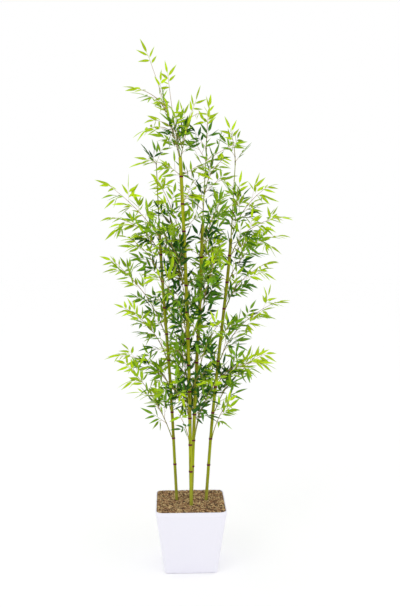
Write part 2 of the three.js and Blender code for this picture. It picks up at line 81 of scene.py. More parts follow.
# The branching rule of the solids, with how open and how light the foliage of each kind is
INTERNODE = 0.108
CLEARANCE = 0.0003
LEAVING_ANGLE = math.radians(20)
KNEE = 0.5
RISE_PER_REACH = 1.2
ABOVE_RING = 0.006
LOWEST_BRANCH = 0.5
BOUGH_RADIUS = 0.0027
BOUGH_DISTANCE = 0.35
STEM_RADIUS = 0.0026
LEADER_RADIUS = 0.0024
LEADER_SURFACE = 0.0023
LEADER_LEAN = math.radians(14)
SOLID_LEAF = 0.108
STEM_INSET = 0.8
STEM_SHARE = 0.8
TWIG_ANGLE = math.radians(40)
TWIG_TURN = math.radians(137.5)
CROWN_FOOT = 0.566
BARE_FOOT = 0.012
LOWEST_TWIGS = 0.626
OPEN_TOP = 2.1
OPEN_LEADER = 2.5
TIP_OPENNESS = 0.7
LEADER_SINK = 0.01
TIP_SINK = 0.004
TOP_LIGHT = 0.13
FRONT_LIGHT = -0.27

# The place of the stage's camera
CAMERA_X = -0.088
CAMERA_Y = -3.370

# Leaves that would hang in front of a cane, as seen from that place, are left out where
# they twist by less than this
CLEAR_TWISTS = {
    "cane_left": 0.48,
    "cane_centre_left": 0.45,
    "cane_centre_right": 0.2,
    "cane_right": 0.42,
}
CLEAR_WIDTH = 0.006

# A section of a cane is a ring over, and its thin end under, these shares of its radius
RING_OVER = 1.1
THIN_UNDER = 0.9

# Planter: faces round a corner, rounding of the band's step as a share of the step, and
# the share of the wall that counts as its outer skin
CORNER_SEGMENTS = 10
STEP_ROUNDING = 0.7
OUTER_SKIN = 0.75

ARC_STEPS = 24
HALVINGS = 30

# Outermost leaf tips, tier by tier: height, and reach to the left, to the
# right, and to the front and back of the canes. These tips and those of the
# leaders, sprays and canes below were not all chosen by hand: a search moved
# them until the crown's outline fitted best.
TIERS = [
    (0.750, 0.145, 0.165, 0.190),
    (0.905, 0.275, 0.345, 0.243),
    (0.895, 0.342, 0.325, 0.265),
    (1.125, 0.282, 0.400, 0.280),
    (1.300, 0.345, 0.325, 0.285),
    (1.400, 0.262, 0.390, 0.285),
    (1.475, 0.348, 0.380, 0.265),
    (1.605, 0.345, 0.350, 0.225),
]
DEPTH_CENTRE = 0.022
SIDE_STAGGER = 0.115
DEPTH_STAGGER = 0.42
DEPTH_DROP = 0.035

LEADERS = [
    ("leader_left", (-0.0032, -0.0012), (-0.180, 0, 2.115)),
    ("leader_middle", (0, 0.0034), (-0.096, 0.052, 2.045)),
    ("leader_right", (0.0032, -0.0014), (0.030, -0.070, 1.925)),
]
UPPER_SPRAYS = [
    ("upper_left", "leader_left", 1.740, (-0.215, -0.120, 1.795)),
    ("top_left", "leader_left", 1.840, (-0.242, 0.025, 1.982)),
    ("upper_front", "leader_right", 1.700, (-0.160, -0.190, 1.835)),
    ("upper_back", "leader_middle", 1.720, (0.070, 0.215, 1.905)),
    ("upper_right", "cane_right", 1.440, (0.212, 0.020, 1.612)),
    ("upper_centre", "cane_centre_right", 1.520, (0.140, -0.140, 1.700)),
]
CANE_TIPS = [
    ("tip_left", "cane_left", (-0.186, 0.060, 1.714)),
    ("tip_centre", "cane_centre_right", (0.080, 0.060, 1.922)),
    ("tip_right", "cane_right", (0.158, 0.020, 1.830)),
]

# The canes, each with the tone of its skin
CANE_TONES = {"cane_left": 0.66, "cane_centre_left": 0.95, "cane_centre_right": 0.9, "cane_right": 0.74}

# Outline of a node ring from below it to above it: half rings and metres from its
# middle, share of the cane's radius, share of the ring's swelling
RING_PROFILE = [
    (-1, -0.006, 0.985, 0),
    (-1, -0.0012, 1.02, 0),
    (-1, 0, 1, 1),
    (0.2, 0, 1, 0.95),
    (1, 0, 1, 0.35),
    (1, 0.002, 1.035, 0),
    (1, 0.007, 0.975, 0),
]

# The slightly slimmer cane between two rings, at these shares of the way
BETWEEN_RINGS = (0.3, 0.5, 0.7)
SLIM_SHARE = 0.98
SLIM_WAVE = 0.01
SLIM_TURN = 2.1
SLIM_SHIFT = 5

# The rounded top of a cane, and the sections of the thin end above it
TOP_ROUNDING = 0.002
TOP_SHARE = 0.8
THIN_START = 0.006
THIN_STEP = 0.03
SHORTEST_THIN = 0.01

# Grooves round a cane, and what counts as a face of a ring
GROOVES = 7
FINE_GROOVES = 12
FINE_SHARE = 0.6
GROOVE_DRIFT = 9
RING_MARGIN = 0.0002
LEVEL_FACE = 0.95

# Leaf outline, root to tip: share of its length, share of its width
LEAF_OUTLINE = [(0, 0.09), (0.07, 0.12), (0.2, 0.78), (0.36, 1), (0.58, 0.82), (0.8, 0.42), (1, 0)]
LEAF_FOLD = 0.2
LEAF_THICKNESS = 0.07
ROW_APART = 10

# How a leaf varies: its width with its size, and the ranges of its draws
WIDTH_BASE = 0.55
WIDTH_GROWTH = 0.45
WIDTHS = (0.85, 1.15)
DROOPS = (0.04, 0.2)
DROOP_LEVEL = 1.2
LEAF_TWIST = 0.7

# Fan of leaves at the end of a twig. Pairs stand further apart towards its foot
FAN_START = math.radians(38)
FAN_STEP = math.radians(8)
FAN_STAGGER = 0.0105
FAN_ROLL = 1.0
FAN_SWAY = 0.16
FAN_SINKS = (0.05, 0.25)
FAN_SIZES = (0.8, 1.1)
LEAF_ROLL = 0.9
LEAF_SHRINK = 0.07
TIP_LEAVES = 5
FEWEST_LEAVES = 3
MORE_LEAVES = 3

# Twigs: bend, and thickness from foot to end
TWIG_RISE = 0.14
TWIG_BEND = 0.12
TWIG_TAPER = (1, 0.85, 0.72, 0.5)
TWIG_SIDES = 5
TWIG_THINNING = 0.5
TWIG_SHORTENING = 0.35
TWIG_LENGTHS = (0.75, 1.2)
TWIG_SWAY = 0.5
TWIG_ANGLE_SWAY = 0.2
LAST_TWIG = 0.985
TWIG_REDDENING = 0.3

# Side shoots of a twig
FIRST_SHOOT = 0.36
SHOOT_SPACING = 0.2
SHOOT_ROLL = 1.4
SHOOT_ALONG = 0.72
SHOOT_ASIDE = 0.7
SHOOT_LENGTHS = (0.28, 0.5)
SHOOT_TAPER = (0.6, 0.5, 0.4)
SHOOT_SIDES = 4
SHOOT_LEAF = 0.88
SHOOT_SPREAD = 2.4
MORE_SHOOTS = 1.6
TINT_ROLL = 0.75
SHOOT_REDDENING = 0.2

# Stems
STEM_TAPER = 0.72
STEM_STEP = 0.02
STEM_DROP = 0.003
STEM_SIDES = 8
COLLAR_SWELLS = (1.25, 1.2)
KNUCKLE_HALF = 0.0016
KNUCKLE_SWELL = 1.4
OPEN_CROWDING = 0.4

# Short twigs at the nodes of a cane
NODE_SEED = 100
NODE_TURN = 1.9
NODE_LEANS = (0.6, 1.1)
NODE_LENGTHS = (0.9, 1.6)
NODE_BASE = 0.85
NODE_GROWTH = 0.45
NODE_LIFTS = (0.003, 0.008)
NODE_DEPTH = 0.7
NODE_PLACES = (0.1, 0.6)
NODE_RADIUS = 0.0012
NODE_SHARE = 0.1
NODE_SHOOTS = 3
THIN_END_STEP = 0.6
END_MARGIN = 0.02

# Leaf tints from the branch tips inwards, each with the place where it starts
TINT_STARTS = {"lime": 0.68, "fresh": 0.44, "green": 0.21, "deep": 0.07, "shade": 0.0}
TINT_SPREAD = 0.29

# Mulch: the mound, and how chips vary
BED_RINGS = 14
BED_SINK = 0.002
MOUND_POWER = 2.2
RIPPLE = 0.0012
RIPPLE_X = (61, 1.3)
RIPPLE_Y = (53, 0.4)
CHIP_END_FROM = 0.4
CHIP_SHARP_END = 0.35
CHIP_BLUNT_END = 0.55
CHIP_THIN_END = 0.5
CHIP_SIDESTEP = 0.1
CHIP_BEND = 0.6
CHIP_SEED = 7
CHIP_LENGTHS = (0.5, 1.35)
CHIP_WIDTHS = (0.6, 1.5)
CHIP_THICKNESS = 0.0015
CHIP_TILT = 0.32
CHIP_ROLL = 0.5
CHIP_LIFTS = (-0.001, 0.0015)
CHIP_TOP = 0.003
CHIP_MARGIN = 0.3
CHIP_BY_CANE = 0.8
TAN_SHARE = 0.34
BROWN_UP_TO = 0.8

# Stage
FLOOR_SIZE = 30
KEY_PLACE = Vector((-1.9, -2.6, 3.2))
KEY_SIZE = 1.6
FILL_PLACE = Vector((2.4, -2.2, 1.9))
FILL_SIZE = 2.0
SENSOR_WIDTH = 36


class Draws:
    """Seeded random numbers, the same in every run."""

    def __init__(self, seed):
        self.state = seed

    def share(self):
        """A number from 0 to 1."""
        self.state = (self.state * 1664525 + 1013904223) % 4294967296
        return self.state / 4294967296

    def spread(self, size):
        """A number spread evenly about zero."""
        return (self.share() * 2 - 1) * size

    def between(self, low, high):
        """A number between two others."""
        return low + (high - low) * self.share()


class Cane:
    """A cane's axis and thickness, read from the level sections of its solid."""

    def __init__(self, node):
        corners = np.array([v.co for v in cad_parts[node].data.vertices])
        corners = np.unique(np.round(corners, 5), axis=0)
        self.name = node
        self.heights = np.unique(np.round(corners[:, 2], 4))
        self.centres = []
        self.radii = []
        for height in self.heights:
            section = corners[np.abs(corners[:, 2] - height) < 1e-4]
            centre = section.mean(axis=0)
            self.centres.append(centre)
            self.radii.append(np.linalg.norm((section - centre)[:, :2], axis=1).max())
        self.radius = self.radii[0]
        self.foot = self.heights[0]
        self.end = self.heights[-1]
        self.top = max(h for h, r in zip(self.heights, self.radii) if r > self.radius * THIN_UNDER)
        self.rings = [h for h, r in zip(self.heights, self.radii) if r > self.radius * RING_OVER]

    def point(self, height):
        """Point on the axis at a height."""
        lanes = ([centre[k] for centre in self.centres] for k in range(3))
        return Vector([float(np.interp(height, self.heights, lane)) for lane in lanes])

    def radius_at(self, height):
        """Radius of the solid at a height, without its rings."""
        if height <= self.top:
            return float(self.radius)
        return float(np.interp(height, self.heights, self.radii))


class Arc:
    """Curve from a root over a knee to a tip."""

    def __init__(self, root, knee, tip):
        self.root = root
        self.knee = knee
        self.tip = tip

    def point(self, t):
        """Point at a share of the way."""
        return self.root * (1 - t) ** 2 + self.knee * (2 * t * (1 - t)) + self.tip * t**2

    def tangent(self, t):
        """Direction at a share of the way."""
        return ((self.knee - self.root) * (1 - t) + (self.tip - self.knee) * t).normalized()

    def length(self):
        """Length along the curve."""
        points = [self.point(k / ARC_STEPS) for k in range(ARC_STEPS + 1)]
        return sum((b - a).length for a, b in zip(points, points[1:]))

    def at_height(self, height):
        """Point at a height, on a curve that climbs all the way."""
        low, high = 0.0, 1.0
        for _ in range(HALVINGS):
            middle = (low + high) / 2
            if self.point(middle).z < height:
                low = middle
            else:
                high = middle
        return self.point(high)


class Branch:
    """A side branch: its curve, its radius, and how open and how light its foliage is."""

    def __init__(self, name, axis_point, arc, radius=STEM_RADIUS, openness=1.0, light=0.0):
        self.name = name
        self.axis_point = axis_point
        self.arc = arc
        self.radius = radius
        self.openness = openness
        self.light = light

    def stem_radius(self, t):
        """Radius of the visible stem at a share of the way."""
        return self.radius * STEM_SHARE * (1 - STEM_TAPER * t)


def level_across(direction):
    """Level unit vector square to a direction."""
    across = UP.cross(direction)
    return across.normalized() if across.length > 1e-6 else Vector((1, 0, 0))


def turned(vector, axis, angle):
    """A vector turned about an axis."""
    return Matrix.Rotation(angle, 3, axis) @ vector


def branch_arc(root, leaf_tip, angle):
    """Curve that leaves its limb steeply and bows outwards to the stem's tip."""
    aim = leaf_tip - root
    stem_tip = leaf_tip - aim.normalized() * STEM_INSET * SOLID_LEAF
    outward = Vector((aim.x, aim.y, 0)).normalized()
    steep = outward * math.sin(angle) + UP * math.cos(angle)
    knee = root + steep * KNEE * (stem_tip - root).length
    return Arc(root, knee, stem_tip)


def root_beside(axis_point, surface, depth, leaf_tip):
    """Start of a branch at the skin of the limb that it stands on."""
    outward = leaf_tip - axis_point
    outward.z = 0
    return axis_point + outward.normalized() * (surface + CLEARANCE + depth * math.cos(LEAVING_ANGLE))


def take_ring(cane, free, side, wanted):
    """Height on a cane of the nearest node ring with no branch on that side yet."""
    if wanted > cane.top:
        return wanted
    rings = free.setdefault((cane.name, side), [z for z in cane.rings if z > LOWEST_BRANCH])
    nearest = min(rings, key=lambda z: abs(z - wanted))
    rings.remove(nearest)
    return nearest + ABOVE_RING


def cane_branch(cane, free, side, number, leaf_tip):
    """Branch from a cane to an outermost leaf tip."""
    below = cane.point(leaf_tip.z - INTERNODE * 2)
    reach = math.hypot(leaf_tip.x - below.x, leaf_tip.y - below.y)
    height = take_ring(cane, free, side, leaf_tip.z - RISE_PER_REACH * reach)
    axis_point = cane.point(height)
    on_side = side in ("left", "right")
    has_bough = on_side and (leaf_tip - axis_point).length > BOUGH_DISTANCE
    radius = BOUGH_RADIUS if has_bough else STEM_RADIUS
    root = root_beside(axis_point, cane.radius_at(height), radius, leaf_tip)
    arc = branch_arc(root, leaf_tip, LEAVING_ANGLE)
    light = FRONT_LIGHT if side == "front" else 0.0
    return Branch(f"{side}_{number}", axis_point, arc, radius, light=light)


def tier_branches(canes):
    """Four branches in every tier, staggered from tier to tier."""
    free = {}
    branches = []
    for index, (height, left, right, depth) in enumerate(TIERS):
        number = index + 1
        side = 1 if index % 2 == 0 else -1
        left_cane = "cane_centre_left" if number == len(TIERS) else "cane_left"
        front_cane, back_cane = ("cane_centre_left", "cane_centre_right")[::side]
        front_x = -side * left * DEPTH_STAGGER
        tips = [
            ("left", left_cane, (-left, DEPTH_CENTRE + side * SIDE_STAGGER, height)),
            ("right", "cane_right", (right, DEPTH_CENTRE - side * SIDE_STAGGER, height)),
            ("front", front_cane, (front_x, DEPTH_CENTRE - depth, height - DEPTH_DROP)),
            ("back", back_cane, (-front_x, DEPTH_CENTRE + depth, height + DEPTH_DROP)),
        ]
        for way, cane_name, tip in tips:
            branches.append(cane_branch(canes[cane_name], free, way, number, Vector(tip)))
    return branches


def leader_branches(canes):
    """Thin leaders that stand in the open end of the centre-left cane."""
    cane = canes["cane_centre_left"]
    top = cane.point(cane.top)
    branches = []
    for name, seat, tip in LEADERS:
        lift = CLEARANCE + LEADER_RADIUS * math.sin(LEADER_LEAN)
        root = top + Vector((*seat, lift))
        arc = branch_arc(root, Vector(tip), LEADER_LEAN)
        foot = root - UP * LEADER_SINK
        branches.append(Branch(name, foot, arc, LEADER_RADIUS, OPEN_LEADER, TOP_LIGHT))
    return branches


def upper_branches(canes, leaders):
    """Sprays that stand on the leaders and on the thin ends of the canes."""
    by_name = {leader.name: leader for leader in leaders}
    branches = []
    for name, limb, height, tip in UPPER_SPRAYS:
        if limb in canes:
            axis_point = canes[limb].point(height)
            surface = canes[limb].radius_at(height)
        else:
            axis_point = by_name[limb].arc.at_height(height)
            surface = LEADER_SURFACE
        root = root_beside(axis_point, surface, STEM_RADIUS, Vector(tip))
        arc = branch_arc(root, Vector(tip), LEAVING_ANGLE)
        branches.append(Branch(name, axis_point, arc, STEM_RADIUS, OPEN_TOP, TOP_LIGHT))
    for name, cane_name, tip in CANE_TIPS:
        cane = canes[cane_name]
        root = cane.point(cane.end) + UP * CLEARANCE
        arc = branch_arc(root, Vector(tip), 0.0)
        foot = root - UP * TIP_SINK
        branches.append(Branch(name, foot, arc, STEM_RADIUS, OPEN_TOP * TIP_OPENNESS, TOP_LIGHT / 2))
    return branches


def all_branches(canes):
    """Every side branch, in the order of the solids."""
    leaders = leader_branches(canes)
    return tier_branches(canes) + leaders + upper_branches(canes, leaders)


class Gathered:
    """Vertices and faces of many small shapes that become one mesh."""

    def __init__(self):
        self.points = []
        self.faces = []
        self.places = []
        self.count = 0

    def add(self, points, faces, places):
        """Adds one shape. Its places are what its material reads, a vertex each."""
        self.points.append(np.asarray(points, float))
        self.places.append(np.asarray(places, float))
        self.faces.extend([[self.count + k for k in face] for face in faces])
        self.count += len(points)

    def build(self, name, smooth_angle):
        """Makes the mesh object."""
        mesh = bpy.data.meshes.new(name)
        mesh.from_pydata(np.concatenate(self.points).tolist(), [], self.faces)
        attribute = mesh.attributes.new("place", "FLOAT_VECTOR", "POINT")
        attribute.data.foreach_set("vector", np.concatenate(self.places).ravel())
        piece = bpy.data.objects.new(name, mesh)
        bpy.context.collection.objects.link(piece)
        activate(piece)
        bpy.ops.object.shade_smooth_by_angle(angle=smooth_angle)
        return piece


def tube(gathered, points, radii, sides, start_share, end_share, tone):
    """Adds a closed tapering tube along a row of points."""
    across = level_across(points[-1] - points[0])
    corners = []
    places = []
    for k, (point, radius) in enumerate(zip(points, radii)):
        before = points[max(0, k - 1)]
        after = points[min(len(points) - 1, k + 1)]
        along = (after - before).normalized().cross(across).normalized()
        share = start_share + (end_share - start_share) * k / (len(points) - 1)
        for side in range(sides):
            angle = 2 * math.pi * side / sides
            corners.append(point + across * radius * math.cos(angle) + along * radius * math.sin(angle))
            places.append((share, side / sides, tone))
    faces = []
    for k in range(len(points) - 1):
        for side in range(sides):
            a = k * sides + side
            b = k * sides + (side + 1) % sides
            faces.append((a, b, b + sides, a + sides))
    faces.append(tuple(range(sides))[::-1])
    faces.append(tuple(range((len(points) - 1) * sides, len(points) * sides)))
    gathered.add(corners, faces, places)


def activate(piece):
    """Selects one object alone and makes it active."""
    bpy.ops.object.select_all(action="DESELECT")
    piece.select_set(True)
    bpy.context.view_layer.objects.active = piece


def start_edit(mode):
    """Opens the active mesh for editing, with nothing selected."""
    bpy.ops.object.mode_set(mode="EDIT")
    bpy.ops.mesh.select_mode(type=mode)
    bpy.ops.mesh.select_all(action="DESELECT")


def end_edit():
    """Closes the mesh."""
    bpy.ops.object.mode_set(mode="OBJECT")


def pick(kind, test):
    """Selects the parts of one kind of the open mesh, "verts" or "edges", that pass a test."""
    mesh = bmesh.from_edit_mesh(bpy.context.object.data)
    for part in getattr(mesh, kind):
        part.select = test(part)
    mesh.select_flush_mode()
    bmesh.update_edit_mesh(bpy.context.object.data)


def pick_vertices(test):
    """Selects the vertices of the open mesh whose place passes a test."""
    pick("verts", lambda vertex: test(vertex.co))


def pick_edges(test):
    """Selects the edges of the open mesh whose two ends pass a test."""
    pick("edges", lambda edge: test(edge.verts[0].co, edge.verts[1].co))


def take_shape(piece):
    """Vertices and faces of a small modelled piece, which is then removed."""
    points = np.array([v.co for v in piece.data.vertices])
    faces = [list(p.vertices) for p in piece.data.polygons]
    bpy.data.objects.remove(piece)
    return points, faces


def rounded_plate(name, half, corner, height):
    """Opens a new level face, a square with round corners, with that face selected."""
    bpy.ops.mesh.primitive_plane_add(size=half * 2, location=(0, 0, height))
    piece = bpy.context.object
    piece.name = name
    bpy.ops.object.transform_apply(location=True, rotation=False, scale=True)
    bpy.ops.object.mode_set(mode="EDIT")
    bpy.ops.mesh.select_mode(type="VERT")
    bpy.ops.mesh.select_all(action="SELECT")
    bpy.ops.mesh.bevel(offset=corner, segments=CORNER_SEGMENTS, affect="VERTICES", profile=0.5)
    bpy.ops.mesh.select_all(action="SELECT")
    return piece


def refit(before, after):
    """Moves and scales each quarter of the selected level, so that it goes from one half
    width and corner radius to another."""
    (half, corner), (new_half, new_corner) = before, after
    middle = new_half - new_corner
    step = middle - (half - corner)
    growth = new_corner / corner
    bpy.ops.mesh.select_mode(type="VERT")
    mesh = bmesh.from_edit_mesh(bpy.context.object.data)
    chosen = {vertex.index for vertex in mesh.verts if vertex.select}

    def in_quarter(vertex):
        """True for a chosen vertex of the quarter that is being fitted."""
        return vertex.index in chosen and vertex.co.x * side_x > 0 and vertex.co.y * side_y > 0

    for side_x in (-1, 1):
        for side_y in (-1, 1):
            pick("verts", in_quarter)
            bpy.ops.transform.translate(value=(side_x * step, side_y * step, 0))
            quarter = (side_x * middle, side_y * middle, 0)
            bpy.ops.transform.resize(value=(growth, growth, 1), center_override=quarter)
    pick("verts", lambda vertex: vertex.index in chosen)


def raise_plate(rise, before=None, after=None):
    """Extrudes what is selected up or down, and fits its end to another outline."""
    bpy.ops.mesh.extrude_region_move(TRANSFORM_OT_translate={"value": (0, 0, rise)})
    if before:
        refit(before, after)


def extrude(offset, scale, centre):
    """Extrudes what is selected by an offset and scales it level about a centre."""
    bpy.ops.mesh.extrude_region_move(TRANSFORM_OT_translate={"value": offset})
    bpy.ops.transform.resize(value=(scale, scale, 1), center_override=centre)


def finish_piece(piece, slot, nodes, *materials):
    """Gives a piece its materials and its body, and hides the solids of the nodes that it stands for. Its
    slot is not used.
    """
    for material in materials:
        piece.data.materials.append(material)
    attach(piece, BODY)
    if nodes:
        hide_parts(*nodes)


# Materials

def start_material(name, roughness, sheen=0.5):
    """New node material with its shader, whose roughness and mirror share are set on itself."""
    material = bpy.data.materials.new(name)
    material.use_nodes = True
    tree = material.node_tree
    shader = tree.nodes["Principled BSDF"]
    shader.inputs["Roughness"].default_value = roughness
    shader.inputs["Specular IOR Level"].default_value = sheen
    return material, tree, shader


def object_place(tree, scale=(1, 1, 1)):
    """Object coordinates, stretched."""
    source = tree.nodes.new("ShaderNodeTexCoord")
    mapping = tree.nodes.new("ShaderNodeMapping")
    mapping.inputs["Scale"].default_value = scale
    tree.links.new(source.outputs["Object"], mapping.inputs["Vector"])
    return mapping.outputs["Vector"]


def own_place(tree):
    """The piece's own attribute, split into its three numbers."""
    source = tree.nodes.new("ShaderNodeAttribute")
    source.attribute_name = "place"
    split = tree.nodes.new("ShaderNodeSeparateXYZ")
    tree.links.new(source.outputs["Vector"], split.inputs["Vector"])
    return split.outputs["X"], split.outputs["Y"], split.outputs["Z"]


def noise(tree, vector, scale, detail):
    """Noise value at a place."""
    node = tree.nodes.new("ShaderNodeTexNoise")
    node.inputs["Scale"].default_value = scale
    node.inputs["Detail"].default_value = detail
    tree.links.new(vector, node.inputs["Vector"])
    return node.outputs["Fac"]


def grain(tree, scale, detail, stretch=(1, 1, 1)):
    """Noise that is fixed to the object, stretched."""
    return noise(tree, object_place(tree, stretch), scale, detail)


def ramp(tree, value, stops):
    """Colour from a value by a row of stops."""
    node = tree.nodes.new("ShaderNodeValToRGB")
    elements = node.color_ramp.elements
    while len(elements) < len(stops):
        elements.new(0.5)
    for element, (position, color) in zip(elements, stops):
        element.position = position
        element.color = (*color, 1)
    tree.links.new(value, node.inputs["Fac"])
    return node.outputs["Color"]


def mix_colors(tree, share, first, second, blend="MIX"):
    """Two colours mixed by a share. Each is a socket or a fixed colour."""
    node = tree.nodes.new("ShaderNodeMix")
    node.data_type = "RGBA"
    node.blend_type = blend
    for socket, value in (("Factor", share), ("A", first), ("B", second)):
        connect(tree, value, node.inputs[socket])
    return node.outputs["Result"]


def connect(tree, value, socket):
    """Links a socket, or sets a number or colour on it."""
    if isinstance(value, bpy.types.NodeSocket):
        tree.links.new(value, socket)
    elif isinstance(value, (int, float)):
        socket.default_value = value
    else:
        socket.default_value = (*value, 1)


def calculate(tree, operation, first, second=0.0):
    """One step of arithmetic."""
    node = tree.nodes.new("ShaderNodeMath")
    node.operation = operation
    connect(tree, first, node.inputs[0])
    connect(tree, second, node.inputs[1])
    return node.outputs["Value"]


def bump(tree, shader, height, distance, strength):
    """Surface relief from a height."""
    node = tree.nodes.new("ShaderNodeBump")
    node.inputs["Strength"].default_value = strength
    node.inputs["Distance"].default_value = distance
    tree.links.new(height, node.inputs["Height"])
    tree.links.new(node.outputs["Normal"], shader.inputs["Normal"])


def scaled(color, factor):
    """A colour made darker or lighter."""
    return tuple(min(1.0, c * factor) for c in color)


def planter_material(color):
    """Satin white moulded plastic with a faint ripple and handling marks."""
    material, tree, shader = start_material("planter_plastic", 0.34)
    broad = grain(tree, 5.0, 3.0)
    base = ramp(tree, broad, [(0.3, scaled(color, 0.985)), (0.7, color)])
    tree.links.new(base, shader.inputs["Base Color"])
    marks = grain(tree, 60.0, 5.0, (1, 1, 0.3))
    gloss = ramp(tree, marks, [(0.35, (0.28,) * 3), (0.7, (0.42,) * 3)])
    tree.links.new(gloss, shader.inputs["Roughness"])
    bump(tree, shader, grain(tree, 700.0, 2.0), 0.00008, 0.4)
    return material


def mulch_material(name, color):
    """Dry bark: grain along the chip with dark and pale flecks."""
    material, tree, shader = start_material(name, 0.9, 0.15)
    flecks = grain(tree, 220.0, 5.0)
    stops = [(0.3, scaled(color, 0.5)), (0.5, color), (0.72, scaled(color, 1.6))]
    tree.links.new(ramp(tree, flecks, stops), shader.inputs["Base Color"])
    bump(tree, shader, grain(tree, 600.0, 4.0, (1, 1, 3)), 0.0006, 0.8)
    return material


def cane_material(settings, foot, tone):
    """Cane skin: yellow-green with brown streaks, duller towards the foot."""
    material, tree, shader = start_material("cane_skin", 0.45, 0.14)
    streaks = grain(tree, 260.0, 4.0, (1, 1, 0.05))
    blotches = grain(tree, 34.0, 4.0, (1, 1, 0.25))
    stops = [(0.32, settings.streak_color), (0.46, settings.color), (0.75, settings.pale_color)]
    skin = ramp(tree, streaks, [(place, scaled(color, tone)) for place, color in stops])
    tired = ramp(tree, blotches, [(0.5, (0, 0, 0)), (0.72, (0.55,) * 3)])
    skin = mix_colors(tree, tired, skin, settings.streak_color)
    split = tree.nodes.new("ShaderNodeSeparateXYZ")
    tree.links.new(object_place(tree), split.inputs["Vector"])
    low = tree.nodes.new("ShaderNodeMapRange")
    low.inputs["From Min"].default_value = foot + 0.01
    low.inputs["From Max"].default_value = foot + 0.13
    low.inputs["To Min"].default_value = 0.7
    low.inputs["To Max"].default_value = 0.0
    tree.links.new(split.outputs["Z"], low.inputs["Value"])
    skin = mix_colors(tree, low.outputs["Result"], skin, settings.foot_color)
    tree.links.new(skin, shader.inputs["Base Color"])
    bump(tree, shader, grain(tree, 700.0, 3.0, (1, 1, 0.03)), 0.0003, 0.6)
    return material


def ring_material(color):
    """Node ring: dark maroon, mottled darker and paler."""
    material, tree, shader = start_material("cane_ring", 0.55, 0.1)
    wear = grain(tree, 300.0, 3.0)
    stops = [(0.35, scaled(color, 0.6)), (0.55, color), (0.75, scaled(color, 1.6))]
    tree.links.new(ramp(tree, wear, stops), shader.inputs["Base Color"])
    bump(tree, shader, grain(tree, 900.0, 3.0), 0.0002, 0.6)
    return material


def stem_material(name, near_color, far_color):
    """Side stem: green by the cane, reddish brown towards its tip."""
    material, tree, shader = start_material(name, 0.55, 0.12)
    share, _, tone = own_place(tree)
    base = ramp(tree, share, [(0.1, near_color), (0.6, far_color)])
    mottle = grain(tree, 240.0, 3.0, (1, 1, 0.4))
    dark = ramp(tree, mottle, [(0.35, (0.6,) * 3), (0.65, (1.15,) * 3)])
    base = mix_colors(tree, 1.0, base, dark, "MULTIPLY")
    node_dark = ramp(tree, tone, [(0.2, (1,) * 3), (0.8, (0.45, 0.3, 0.3))])
    base = mix_colors(tree, 1.0, base, node_dark, "MULTIPLY")
    tree.links.new(base, shader.inputs["Base Color"])
    bump(tree, shader, mottle, 0.0002, 0.5)
    return material


def leaf_material(name, color):
    """Leaf cloth: its tint, a paler midrib, fine lengthwise veins and a slight sheen."""
    material, tree, shader = start_material(name, 0.5, 0.1)
    across, _, tone = own_place(tree)
    veins = calculate(tree, "SINE", calculate(tree, "MULTIPLY", across, 34.0))
    veins = calculate(tree, "MULTIPLY", veins, 0.05)
    rib = calculate(tree, "ABSOLUTE", across)
    pale = ramp(tree, rib, [(0.04, (0.5,) * 3), (0.2, (0, 0, 0))])
    body = ramp(tree, tone, [(0.0, scaled(color, 0.7)), (1.0, scaled(color, 1.3))])
    mottle = grain(tree, 45.0, 3.0)
    shift = ramp(tree, calculate(tree, "ADD", mottle, veins), [(0.3, (0.84,) * 3), (0.7, (1.1,) * 3)])
    body = mix_colors(tree, 1.0, body, shift, "MULTIPLY")
    tree.links.new(mix_colors(tree, pale, body, scaled(color, 1.7)), shader.inputs["Base Color"])
    bump(tree, shader, veins, 0.0004, 0.5)
    return material


def floor_material(color):
    """Plain pale floor."""
    material, _, shader = start_material("stage_floor", 0.9)
    shader.inputs["Base Color"].default_value = (*color, 1)
    return material


# Settings

def color_property(name, description, default):
    """A colour that a user can change."""
    return FloatVectorProperty(
        name=name, description=description, default=default, subtype="COLOR", size=3, min=0, max=1
    )


def length_property(name, description, default):
    """A length that a user can change."""
    return FloatProperty(name=name, description=description, default=default, min=0, unit="LENGTH")


def place_property(name, description, default):
    """A place along one axis, which may be below zero."""
    return FloatProperty(name=name, description=description, default=default, unit="LENGTH")


def count_property(name, description, default):
    """A whole number that a user can change."""
    return IntProperty(name=name, description=description, default=default, min=0)


def power_property(name, description, default):
    """The power of a light."""
    return FloatProperty(name=name, description=description, default=default, min=0, unit="POWER")


class BambooPlanterSettings(bpy.types.PropertyGroup):
    """Sizes and colour of the planter."""

    color: color_property("Colour", "White of the plastic", (0.84, 0.83, 0.91))
    wall: length_property("Wall", "Thickness of the wall at the rim", 0.004)
    floor: length_property("Floor", "Thickness of the floor", 0.005)
    corner: length_property("Corner", "Radius of the upright corners at the band", 0.030)
    foot_corner: length_property("Foot corner", "Radius of the upright corners at the foot", 0.014)
    band: length_property("Band", "Height of the upright band at the rim", 0.018)
    band_step: length_property("Band step", "How far the band stands out", 0.002)
    lip: length_property("Lip", "Rounding of the rim", 0.0013)
    foot: length_property("Foot", "Rounding of the lower edge", 0.005)
    top_half: length_property("Top half width", "Half the width at the rim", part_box("planter")[1].x)
    height: length_property("Height", "Height of the rim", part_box("planter")[1].z)
    foot_half: length_property("Foot half width", "Half the width at the foot", 0.106)


